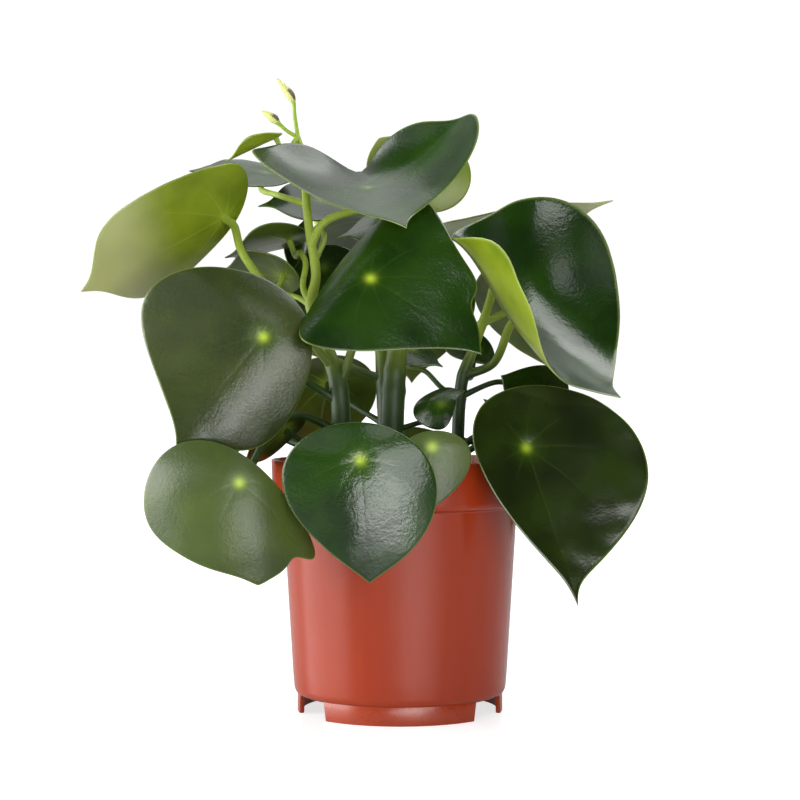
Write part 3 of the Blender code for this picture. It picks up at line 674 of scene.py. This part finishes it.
def leaf_upper(name, dark, light, spot, glow, matt, wrinkled):
    mat, shader, place = material(name)
    _, radius, veins, margin = leaf_marks(place.tree)
    tone = painted(dark, (above(cloud(place, 34.0, 3.0), *PATCHES), light),
                   (veins * 0.07, (96, 124, 40)),
                   (bell(radius, SPOT_HALO) * 0.35 * glow, (74, 112, 16)),
                   (bell(radius, SPOT_CORE) * glow, spot),
                   (margin * 0.5, (120, 140, 62)))
    skin = leaf_skin(place)
    plug(shader, Base_Color=tone, Roughness=matt + 0.1 * cloud(place, 50.0) + 0.04 * skin,
         Normal=bump(skin, wrinkled, SKIN_HEIGHT, bump(veins, 0.1, -0.1 * MM)))
    return mat


def leaf_under(name, dark, light, pale):
    mat, shader, place = material(name)
    u, radius, veins, margin = leaf_marks(place.tree)
    # Paler towards the tip: painted sheen.
    tip_sheen = above(u, *TIP_SHEEN_SPAN) * (0.5 + 0.5 * cloud(place, 24.0, 1.0)) * pale
    tone = painted(dark, (above(cloud(place, 42.0, 3.0), *PATCHES), light),
                   (tip_sheen, (204, 206, 150)),
                   (veins * 0.25, (160, 180, 84)),
                   (bell(radius, UNDER_SPOT) * 0.5, (150, 175, 50)),
                   (margin * 0.4, (160, 178, 90)))
    plug(shader, Base_Color=tone, Roughness=0.27 + 0.1 * cloud(place, 70.0),
         Normal=bump(leaf_skin(place), 0.25, UNDER_SKIN_HEIGHT, bump(veins, 0.4, 0.2 * MM)))
    return mat


UPPER = {name: leaf_upper(name, *kind) for name, kind in UPPER_KINDS.items()}
UNDER = {name: leaf_under(name, *kind) for name, kind in UNDER_KINDS.items()}
print("leaf finishes:", [*UPPER, *UNDER])

# %% [markdown]
# Growing the leaves. The seed that shifts each blade's ruffle counts up leaf by leaf, and so the
# plant is the same each time the script runs.

# %% Grow the leaves
SEED_STEP = 1.7
KIND_LEAVES = {
    "leaf_upper": ("front_low", "middle", "right_cupped", "back_high", "back_middle", "back_low"),
    "leaf_upper_deep_shaded": ("right_low", "back_left", "side_right"),
    "leaf_upper_grey_sheen": ("left_front",),
    "leaf_upper_olive_sheen": ("left_low", "front_small", "back_right", "side_left"),
    "leaf_upper_young": ("young",),
}
# Undersides that catch the light get the lighter finish with its painted sheen; the others get the
# darker copy, painted shade.
LIT_UNDERSIDES = ("left_high", "right_cupped", "crown_back", "crown", "young", "right_back")
kind_of = {leaf: kind for kind, leaves in KIND_LEAVES.items() for leaf in leaves}
leaf_faces = 0
for number, (name, sizes) in enumerate(BLADES.items()):
    # A leaf without a kind of its own gets the copy whose spot is dimmed, painted shade.
    upper = UPPER[kind_of.get(name, "leaf_upper_shaded")]
    under = UNDER["leaf_under" if name in LIT_UNDERSIDES else "leaf_under_shaded"]
    blade = grown(name + "_blade", BLADE_TREE, sizes | {
        "Seed": number * SEED_STEP, "Upper finish": upper, "Under finish": under})
    leaf_faces += len(blade.data.polygons)
    dress(blade, "leaf_" + name)
print("leaves:", len(BLADES), "with", leaf_faces, "faces")

# %% [markdown]
# Stems and stalks. Four stems rise from the soil, and each leaf's stalk leaves one of them and
# ends square under its blade. The points are the construction model's own, in millimetres. A
# stem's joints are the heights at which its leaves left it. A stalk is told by the points that
# it passes and its radius.

# %% Paths of the stems and stalks
STEMS = {
    "stem_left": dict(
        route=((-27, -15, 82), (-27, -15, 100), (-27, -15, 118), (-28, -17, 150),
               (-36, -12, 174), (-41, -8, 189), (-39, -6, 203), (-42, -3, 222), (-44, 0, 241),
               (-45, 4, 257), (-48, 8, 268)),
        radii=(4.3, 4.3, 4.3, 4.2, 3.0, 2.8, 2.2, 2.1, 1.9, 1.6, 1.3),
        joints=(120, 150, 189, 208, 236, 257)),
    "stem_middle": dict(
        route=((-4, -10, 82), (-4, -10, 100), (-4, -10, 118), (-3, -10, 150), (0, -6, 176),
               (4, 0, 200), (6, 6, 218)),
        radii=(5.5, 5.5, 5.5, 5.4, 4.0, 2.8, 2.2), joints=(124, 149, 158, 200)),
    "stem_right": dict(
        route=((27, 6, 82), (27, 6, 100), (27, 6, 118), (29, 9, 152), (36, 10, 172),
               (44, 16, 196), (48, 26, 214)),
        radii=(3.0, 3.0, 3.0, 2.9, 2.3, 2.0, 1.8), joints=(120, 146, 156, 180, 196)),
    "stem_back": dict(
        route=((-6, 32, 82), (-6, 32, 100), (-6, 32, 118), (-8, 36, 150), (-10, 40, 190),
               (-12, 44, 222)),
        radii=(4.0, 4.0, 4.0, 3.6, 2.6, 2.0), joints=(118, 132, 154, 170, 190)),
}
STALKS = {
    "stem_left": {
        "crown": (((-42, -4, 216), (-34, -4, 228)), 1.9),
        "left_high": (((-31, -16, 160), (-46, -24, 178), (-62, -22, 198), (-72, -20, 212)), 1.9),
        "left_front": (((-28, -17, 144), (-36, -19, 149), (-46, -28, 156)), 1.7),
        "left_low": (((-28, -15, 130), (-46, -25, 138), (-58, -42, 130), (-67, -56, 113)), 1.7),
        "middle": (((-28, -17, 151), (-23, -18, 165), (-17, -24, 184)), 2.0),
        "young": (((-48, 8, 268),), 1.1),
        "left_upper": (((-44, 0, 236), (-58, 8, 241)), 1.4),
        "under_crown": (((-40, -5, 208), (-36, 16, 222)), 1.4),
        "left_roof": (((-41, -8, 189), (-45, -6, 197), (-44, 0, 208), (-47, 8, 214)), 1.4),
        "left_inner": (((-41, -8, 188), (-47, -4, 192)), 1.2),
        "left_tucked": (((-27, -15, 120), (-40, -18, 124)), 1.3),
        "side_left": (((-27, -14, 118), (-50, 10, 124), (-66, 14, 130)), 1.5),
    },
    "stem_middle": {
        "front_low": (((-4, -10, 124), (-14, -50, 128)), 1.6),
        "front_small": (((-4, -10, 118), (8, -46, 128)), 1.2),
        "crown_back": (((6, 6, 214), (10, 14, 240)), 1.5),
        "hooked": (((5, 4, 210), (-2, 12, 220)), 1.3),
        "inner_low": (((-4, -10, 130), (8, -12, 134)), 1.2),
    },
    "stem_right": {
        "right_cupped": (((30, 9, 156), (44, 4, 162)), 2.0),
        "right_low": (((27, 6, 120), (36, -24, 128)), 1.7),
        "right_back": (((47, 24, 210), (52, 40, 222)), 1.6),
        "right_hidden": (((28, 8, 146), (48, 8, 153)), 1.3),
        "right_tucked": (((27, 6, 126), (42, 4, 124)), 1.2),
        "under_middle": (((30, 9, 156), (34, 24, 155)), 1.2),
        "inner_small": (((28, 8, 146), (20, 10, 150), (12, 14, 158)), 1.2),
        "back_right": (((38, 12, 180), (50, 34, 186)), 1.7),
        "side_right": (((27, 6, 118), (52, 22, 128)), 1.5),
    },
    "stem_back": {
        "left_upright": (((-10, 40, 190), (-34, 56, 200)), 1.2),
        "shaded": (((-10, 40, 188), (-22, 42, 200)), 1.2),
        "back_high": (((-12, 42, 212),), 1.7),
        "back_middle": (((-9, 37, 170), (4, 52, 186)), 1.7),
        "back_left": (((-8, 36, 154), (-44, 30, 168)), 1.7),
        "back_low": (((-6, 32, 118), (0, 56, 128)), 1.6),
        "back_inner": (((-7, 34, 132), (-24, 44, 142)), 1.4),
    },
}
BUDS = (
    dict(route=((-48, 8, 268), (-49.5, 8, 278), (-50, 8, 284), (-51.5, 8, 287.5),
                (-54.5, 8, 291.5), (-58, 8, 295.5)),
         radii=(1.0, 0.9, 1.0, 2.2, 1.7, 0.5)),
    dict(route=((-48, 8, 268), (-53, 8, 271), (-57, 8, 274.5), (-59, 8, 276.5),
                (-62, 8, 278.6), (-65, 8, 280.3)),
         radii=(1.0, 0.9, 1.1, 2.2, 1.7, 0.5)),
)
print(len(STEMS), "stems,", sum(map(len, STALKS.values())), "stalks,", len(BUDS), "buds")

# %% [markdown]
# A smooth path. A curve passes through every point of the route, read off every millimetre and a
# half, and the widths follow it too. A stem swells a little at its joints, and a stalk has a
# thick foot on its stem and flares where it carries the blade.

# %% Smooth paths with widths
PATH_STEP = 1.5
SWELL = 0.09
SWELL_LENGTH = 2.2
FOOT_FLARE = 0.3
FOOT_LENGTH = 6.0
HEAD_FLARE = 0.2
HEAD_LENGTH = 1.8
HEAD_SINK = 0.25
RUN_IN = 9.0


def smooth_path(route, radii):
    """Points on a smooth curve through the route, and the width's radius at each, in mm."""
    p = np.column_stack([np.array(route, float), np.array(radii, float)])
    p = np.vstack([2 * p[0] - p[1], p, 2 * p[-1] - p[-2]])
    path = []
    for i in range(1, len(p) - 2):
        a, b, c, d = p[i - 1:i + 3]
        pieces = max(1, round(np.linalg.norm((c - b)[:3]) / PATH_STEP))
        for t in np.arange(pieces) / pieces:
            path.append((2 * b + (c - a) * t + (2 * a - 5 * b + 4 * c - d) * t ** 2
                         + (3 * b - 3 * c + d - a) * t ** 3) / 2)
    path = np.array([*path, p[-2]])
    return path[:, :3], path[:, 3]


def stem_path(route, radii, joints):
    points, widths = smooth_path(route, radii)
    for height in joints:
        widths = widths * (1 + SWELL * np.exp(-((points[:, 2] - height) / SWELL_LENGTH) ** 2))
    return points, widths


def stalk_path(leaf, passed, radius):
    """From the stem's middle to just inside the blade's under side."""
    sizes = BLADES[leaf]
    spot, normal = sizes["Spot"] / MM, sizes["Normal"]
    end = spot - normal * (sizes["Dimple"] / MM + HEAD_SINK)
    route = [*passed, spot - normal * RUN_IN, spot - normal * RUN_IN / 3, end]
    points, widths = smooth_path(route, [radius] * len(route))
    steps = np.linalg.norm(np.diff(points, axis=0), axis=1)
    walked = np.concatenate([[0.0], np.cumsum(steps)])
    foot = FOOT_FLARE * np.exp(-(walked / FOOT_LENGTH) ** 2)
    head = HEAD_FLARE * np.exp(-((walked[-1] - walked) / HEAD_LENGTH) ** 2)
    return points, widths * (1 + foot + head)


# %% [markdown]
# Paths become tubes in one small tree. Its input mesh holds only points and edges, with the
# radius stored on each point. Mesh to Curve strings them together, and Curve to Mesh runs a
# circle along them, scaled by that radius. Each point's share of the way is stored too, so that
# the buds can change colour where their scales begin.

# %% The tube tree
def tube_tree():
    tree, given = new_tree("tube", {"Sides": "Int", "Finish": "Material"})
    curve = step(tree, "MeshToCurve", Mesh=given["Geometry"])
    curve = step(tree, "StoreNamedAttribute", {"data_type": "FLOAT"},
                 Geometry=curve, Name="walked", Value=step(tree, "SplineParameter"))
    radius = step(tree, "InputNamedAttribute", {"data_type": "FLOAT"}, Name="half_width")
    ring = step(tree, "CurvePrimitiveCircle", Resolution=given["Sides"], Radius=1.0)
    skin = step(tree, "CurveToMesh", Curve=curve, Profile_Curve=ring, Scale=radius,
                Fill_Caps=True)
    return close_tree(tree, step(tree, "SetShadeSmooth", Geometry=skin), given["Finish"])


def path_mesh(name, paths):
    """A mesh of points and edges for several paths, with each point's radius, in metres."""
    points, edges, radii = [], [], []
    for path, widths in paths:
        first = len(points)
        points.extend(path * MM)
        radii.extend(widths * MM)
        edges.extend((i, i + 1) for i in range(first, len(points) - 1))
    mesh = new_mesh(name, points, edges)
    mesh.attributes.new("half_width", "FLOAT", "POINT").data.foreach_set("value", radii)
    return mesh


TUBE_TREE = tube_tree()
print("tube tree:", len(TUBE_TREE.nodes), "nodes")

# %% [markdown]
# The stems' skin. Stalks are a fresh, watery green, and the thick lower stems are a darker one:
# partly their older skin and partly painted shade, as they stand under the leaves. Height decides
# between the two, so one material serves both. Fine streaks run up the stem, and small brown
# specks lie over it.

# %% Finish of the stems
STEM_DARK_TOP = 0.150
STEM_LIGHT_FROM = 0.185
STEM_WANDER = 0.012
STEM_SPECKS = (0.66, 0.74)


def stem_finish():
    mat, shader, place = material("stem_skin")
    _, _, z = split(place)
    streaks = streaks_along_z(place, 0.12, 1400.0, 2.0)
    fresh = painted((128, 152, 34), (streaks, (156, 176, 62)))
    # The lower stems' dark green: partly older skin, partly painted shade under the leaves.
    old_and_shaded = painted((22, 44, 5), (streaks, (44, 72, 12)))
    height = z + STEM_WANDER * (cloud(place, 60.0) - 0.5)
    specks = above(cloud(place, 420.0, 3.0), *STEM_SPECKS)
    tone = painted(old_and_shaded, (above(height, STEM_DARK_TOP, STEM_LIGHT_FROM), fresh),
                   (specks * 0.35, (96, 70, 40)))
    plug(shader, Base_Color=tone, Roughness=0.46 + 0.14 * streaks,
         Normal=bump(streaks, 0.25, 0.15 * MM))
    return mat


STEM_SKIN = stem_finish()
for stem, spec in STEMS.items():
    paths = [stem_path(**spec)]
    paths += [stalk_path(leaf, *stalk) for leaf, stalk in STALKS[stem].items()]
    piece = grown(stem + "_with_stalks", TUBE_TREE, {"Sides": 18, "Finish": STEM_SKIN},
                  path_mesh(stem, paths))
    dress(piece, stem)
    print(piece.name, len(paths), "tubes,", len(piece.data.polygons), "faces")

# %% [markdown]
# The buds. The tallest stem ends in two short shoots with closed, pointed bud scales. They are
# pale yellow-green, and each has one dark brown scale on the side that faces up to the right.
# They are tubes as well, with their own finish.

# %% Buds
BUD_BASE = 0.57
BUD_BASE_SOFT = 0.03
SCALE_TOP = 0.76
SCALE_SOFT = 0.08
SCALE_SIDE = (0.64, 0.0, 0.77)
SCALE_WRAP = (-0.1, 0.3)


def bud_finish():
    mat, shader, place = material("bud_scales")
    walked = add(place.tree, "ShaderNodeAttribute", {"attribute_name": "walked"})["Fac"]
    facing = maths("DOT_PRODUCT", add(place.tree, "ShaderNodeNewGeometry")["Normal"], SCALE_SIDE)
    scales = painted((196, 202, 104), (cloud(place, 500.0), (226, 226, 160)))
    scaly = above(walked, BUD_BASE - BUD_BASE_SOFT, BUD_BASE + BUD_BASE_SOFT)
    brown = above(walked, BUD_BASE - 0.01, BUD_BASE + 0.02) * above(facing, *SCALE_WRAP)
    ragged = walked + SCALE_SOFT * cloud(place, 700.0)
    brown = brown * (1 - above(ragged, SCALE_TOP, SCALE_TOP + SCALE_SOFT))
    tone = painted((132, 164, 38), (cloud(place, 300.0), (158, 186, 62)), (scaly, scales),
                   (brown * 0.9, (70, 44, 28)))
    plug(shader, Base_Color=tone, Roughness=0.45 + 0.1 * cloud(place, 900.0),
         Normal=bump(cloud(place, 1200.0), 0.3, 0.1 * MM))
    return mat


buds = grown("buds", TUBE_TREE, {"Sides": 16, "Finish": bud_finish()},
             path_mesh("buds", [smooth_path(**bud) for bud in BUDS]))
dress(buds)
print("buds:", len(buds.data.polygons), "faces")

# %% [markdown]
# The pot is a thin moulded nursery pot: a tapered wall, a wider collar at the rim, and a foot
# ring with three notches that let water out. Its corners are rounded first, on the flat outline,
# where an arc is easy. Then a Screw modifier turns it and Solidify gives it its wall. The
# outline is radius, height and how far each corner's arc reaches, in millimetres.

# %% Pot
FLOOR_HEIGHT = 8.0
POT_WALL = 1.3 * MM
POT_STEPS = 180
POT_SIDE = (
    (60.0, 117.0, 0.0), (59.3, 98.4, 1.5), (58.7, 96.6, 1.0), (57.2, 95.8, 0.8),
    (54.6, 95.4, 0.7), (49.9, 18.0, 2.0), (49.3, 11.0, 2.0), (48.3, 8.8, 1.0),
    (46.6, FLOOR_HEIGHT, 0.8), (0.0, FLOOR_HEIGHT, 0.0),
)
ARC_STEPS = 4
WELD_SEAM = 0.01 * MM
BEVEL = dict(limit_method="ANGLE", angle_limit=math.radians(50))


def rounded(outline):
    """The outline with each corner replaced by an arc that starts its reach before it."""
    points = []
    for i, (r, z, reach) in enumerate(outline):
        here = np.array([r, z], float)
        if reach == 0.0:
            points.append(here)
            continue
        before = np.array(outline[i - 1][:2], float)
        after = np.array(outline[i + 1][:2], float)
        reach = min(reach, np.linalg.norm(before - here) / 2, np.linalg.norm(after - here) / 2)
        start = here + unit(before - here) * reach
        end = here + unit(after - here) * reach
        for t in np.linspace(0.0, 1.0, ARC_STEPS + 1):
            points.append(start * (1 - t) ** 2 + here * 2 * t * (1 - t) + end * t ** 2)
    return points


def welded(obj):
    """Closes seams and poles and turns the faces outward."""
    bm = bmesh.new()
    bm.from_mesh(obj.data)
    bmesh.ops.remove_doubles(bm, verts=bm.verts, dist=WELD_SEAM)
    bmesh.ops.recalc_face_normals(bm, faces=bm.faces)
    bm.to_mesh(obj.data)
    bm.free()


def turned(name, outline, steps, wall=0.0):
    """An outline of radius and height in mm, turned round Z and given a wall if it is open."""
    edges = [(i, i + 1) for i in range(len(outline) - 1)]
    obj = placed(name, new_mesh(name, [(r * MM, 0.0, z * MM) for r, z in outline], edges))
    modify(obj, "turn", "SCREW", axis="Z", steps=steps, render_steps=steps,
           use_merge_vertices=True, merge_threshold=2 * WELD_SEAM, use_normal_calculate=True,
           use_smooth_shade=True)
    if wall:
        modify(obj, "wall", "SOLIDIFY", thickness=wall, offset=-1.0, use_even_offset=True)
    settle(obj)
    welded(obj)
    return obj


pot = turned("nursery_pot", rounded(POT_SIDE), POT_STEPS, POT_WALL)
modify(pot, "round_rim", "BEVEL", width=0.45 * MM, segments=3, **BEVEL)
settle(pot)
print("pot wall:", len(pot.data.polygons), "faces")

# %% [markdown]
# The foot ring. Each notch is a wedge that widens downwards, cut with a Boolean. A small bevel
# then softens the cut edges, as a mould would. The ring is sunk a little way into the pot's
# floor and joined to it, and so is the flat pad in its middle.

# %% Foot ring with notches
FOOT_OUTER = 47.8
FOOT_INNER = 45.6
FOOT_TOP = FLOOR_HEIGHT + 0.6
NOTCH_ANGLES = (90, 210, 330)
NOTCH_TOP_HALF = 11.1
NOTCH_BOTTOM_HALF = 12.8
NOTCH_MARGIN = 1.0
PAD_RADIUS = 15.0
PAD_STEPS = 64
SHARP = math.radians(40)


def notch_wedge(angle):
    """A closed wedge through the ring's wall at this angle, wider at the bottom."""
    turn = math.radians(angle)
    out = np.array([math.cos(turn), math.sin(turn), 0.0])
    side = np.array([-math.sin(turn), math.cos(turn), 0.0])
    up = np.array([0.0, 0.0, 1.0])
    low, high = -NOTCH_MARGIN, FOOT_TOP + NOTCH_MARGIN
    corners = [(out * radius + side * half + up * height) * MM
               for radius in (FOOT_INNER - 4 * NOTCH_MARGIN, FOOT_OUTER + NOTCH_MARGIN)
               for half, height in ((-NOTCH_BOTTOM_HALF, low), (NOTCH_BOTTOM_HALF, low),
                                    (NOTCH_TOP_HALF, high), (-NOTCH_TOP_HALF, high))]
    return new_mesh("notch", corners, faces=[
        (0, 1, 2, 3), (4, 5, 6, 7), (0, 1, 5, 4), (1, 2, 6, 5), (2, 3, 7, 6), (3, 0, 4, 7)])


def combine(obj, operation, pieces):
    """The object's Boolean with these pieces, which it uses up."""
    used = bpy.data.collections.new(operation)
    bpy.context.scene.collection.children.link(used)
    for piece in pieces:
        used.objects.link(piece)
    modify(obj, operation, "BOOLEAN", operation=operation, operand_type="COLLECTION",
           collection=used)
    settle(obj)
    for piece in pieces:
        bpy.data.objects.remove(piece)
    bpy.data.collections.remove(used)


foot = turned("foot_ring", ((FOOT_OUTER, FOOT_TOP), (FOOT_OUTER, 0.0), (FOOT_INNER, 0.0),
                            (FOOT_INNER, FOOT_TOP), (FOOT_OUTER, FOOT_TOP)), POT_STEPS)
notches = [placed("notch", notch_wedge(angle)) for angle in NOTCH_ANGLES]
for notch in notches:
    welded(notch)
combine(foot, "DIFFERENCE", notches)
modify(foot, "soften", "BEVEL", width=0.3 * MM, segments=2, **BEVEL)
settle(foot)
pad = turned("pad", ((0.0, FOOT_TOP), (PAD_RADIUS, FOOT_TOP), (PAD_RADIUS, 0.0), (0.0, 0.0)),
             PAD_STEPS)
combine(pot, "UNION", (foot, pad))
pot.data.shade_smooth()
pot.data.set_sharp_from_angle(angle=SHARP)
print("pot:", len(pot.data.polygons), "faces")

# %% [markdown]
# The pot's plastic is glossy terracotta-red polypropylene. Very faint streaks run down the wall,
# its gloss varies, and fine dust dulls the foot. The colour itself hardly changes, because the
# pigment is mixed through.

# %% Finish of the pot
DUST_HEIGHT = 0.016


def pot_finish():
    mat, shader, place = material("terracotta_plastic")
    _, _, z = split(place)
    streaks = streaks_along_z(place, 0.1, 160.0, 3.0)
    dusty = (1 - above(z, 0.0, DUST_HEIGHT)) * cloud(place, 240.0, 3.0)
    tone = painted((146, 43, 12), (streaks, (156, 53, 19)), (dusty * 0.12, (196, 130, 104)))
    shine = 0.22 + 0.05 * cloud(place, 26.0) + 0.1 * dusty
    plug(shader, Base_Color=tone, Roughness=shine,
         Normal=bump(cloud(place, 700.0, 2.0), 0.06, 0.1 * MM, bump(streaks, 0.1, 0.3 * MM)))
    return mat


def finish_with(obj, mat):
    obj.data.materials.clear()
    obj.data.materials.append(mat)


finish_with(pot, pot_finish())
dress(pot, "pot")
print("pot's finish:", pot.data.materials[0].name)

# %% [markdown]
# The soil is peat compost. Its top is a low dome with lumps, and loose crumbs lie on it. Noise
# lifts the turned top by a millimetre or so, and less towards the pot's wall.

# %% Soil
SOIL_EDGE = 57.1
SOIL_TOP = ((0.0, 107.0), (42.0, 105.4), (55.0, 103.8), (SOIL_EDGE, 103.4))
SOIL_SIDE = ((57.2, 98.0), (52.7, 96.9), (48.3, 18.0), (47.7, 11.6), (46.6, 9.6), (0.0, 9.6))
SOIL_STEPS = 140
SOIL_RING = 1.4
SOIL_TOP_FROM = 0.1
LUMP = 1.6 * MM
LUMP_SCALE = 90.0
CALM_RIM = 4.0
CALM_EDGE = 0.5

top = np.array(SOIL_TOP)
reach = np.arange(0.0, SOIL_EDGE - SOIL_RING / 2, SOIL_RING)
outline = [(r, np.interp(r, top[:, 0], top[:, 1])) for r in reach]
soil = turned("compost", [*outline, SOIL_TOP[-1], *SOIL_SIDE], SOIL_STEPS)
for vertex in soil.data.vertices:
    x, y, z = vertex.co
    inside = SOIL_EDGE - math.hypot(x, y) / MM
    if z > SOIL_TOP_FROM and inside > CALM_EDGE:
        lumps = noise.fractal(Vector((x, y, 0.0)) * LUMP_SCALE, 1.0, 2.0, 4)
        vertex.co.z += LUMP * lumps * min(1.0, inside / CALM_RIM)
soil.data.shade_smooth()


def soil_finish(name, dark, light):
    mat, shader, place = material(name)
    grains = cloud(place, 900.0, 4.0)
    fibres = above(cloud(place, 1500.0, 2.0), 0.68, 0.72)
    tone = painted(dark, (above(grains, 0.35, 0.65), light), (fibres * 0.6, (120, 96, 70)))
    plug(shader, Base_Color=tone, Roughness=0.82 + 0.15 * grains,
         Normal=bump(grains, 0.9, 0.6 * MM))
    return mat


finish_with(soil, soil_finish("compost", (30, 21, 15), (66, 48, 34)))
dress(soil, "soil")
print("soil:", len(soil.data.polygons), "faces")

# %% [markdown]
# Crumbs repeat by the hundred, which is a job for Geometry Nodes: points are scattered on the
# soil's upward faces with a fixed seed, and each gets a rough pebble, turned and stretched at
# random. One pebble has only twenty faces, because a thousand of them add up.

# %% Crumbs on the soil
def crumb_tree():
    tree, given = new_tree("crumbs", {"Density": "Float", "Smallest": "Float",
                                      "Largest": "Float", "Seed": "Int", "Finish": "Material"})

    def random(kind, low, high):
        return add(tree, "FunctionNodeRandomValue", {"data_type": kind},
                   {"Min": low, "Max": high, "Seed": given["Seed"]})["Value"]

    _, _, up = split(step(tree, "InputNormal"))
    _, _, high = split(step(tree, "InputPosition"))
    top_side = maths("GREATER_THAN", up, 0.5) * maths("GREATER_THAN", high, SOIL_TOP_FROM)
    points = step(tree, "DistributePointsOnFaces", Mesh=given["Geometry"], Selection=top_side,
                  Density=given["Density"], Seed=given["Seed"])
    pebble = step(tree, "MeshIcoSphere", Radius=1.0, Subdivisions=1)
    turn = random("FLOAT_VECTOR", (0.0, 0.0, 0.0), (math.tau, math.tau, math.tau))
    size = random("FLOAT", given["Smallest"], given["Largest"])
    stretch = random("FLOAT_VECTOR", (0.5, 0.4, 0.3), (1.4, 1.0, 0.8))
    crumbs = step(tree, "InstanceOnPoints", Points=points, Instance=pebble, Rotation=turn,
                  Scale=stretch * size)
    return close_tree(tree, crumbs, given["Finish"])


crumbs = grown("soil_crumbs", crumb_tree(), {
    "Density": 150000.0, "Smallest": 0.5 * MM, "Largest": 2.0 * MM, "Seed": 7,
    "Finish": soil_finish("crumbs", (40, 28, 20), (92, 68, 48))},
    soil.data.copy())
dress(crumbs)
print("crumbs:", len(crumbs.data.polygons), "faces")
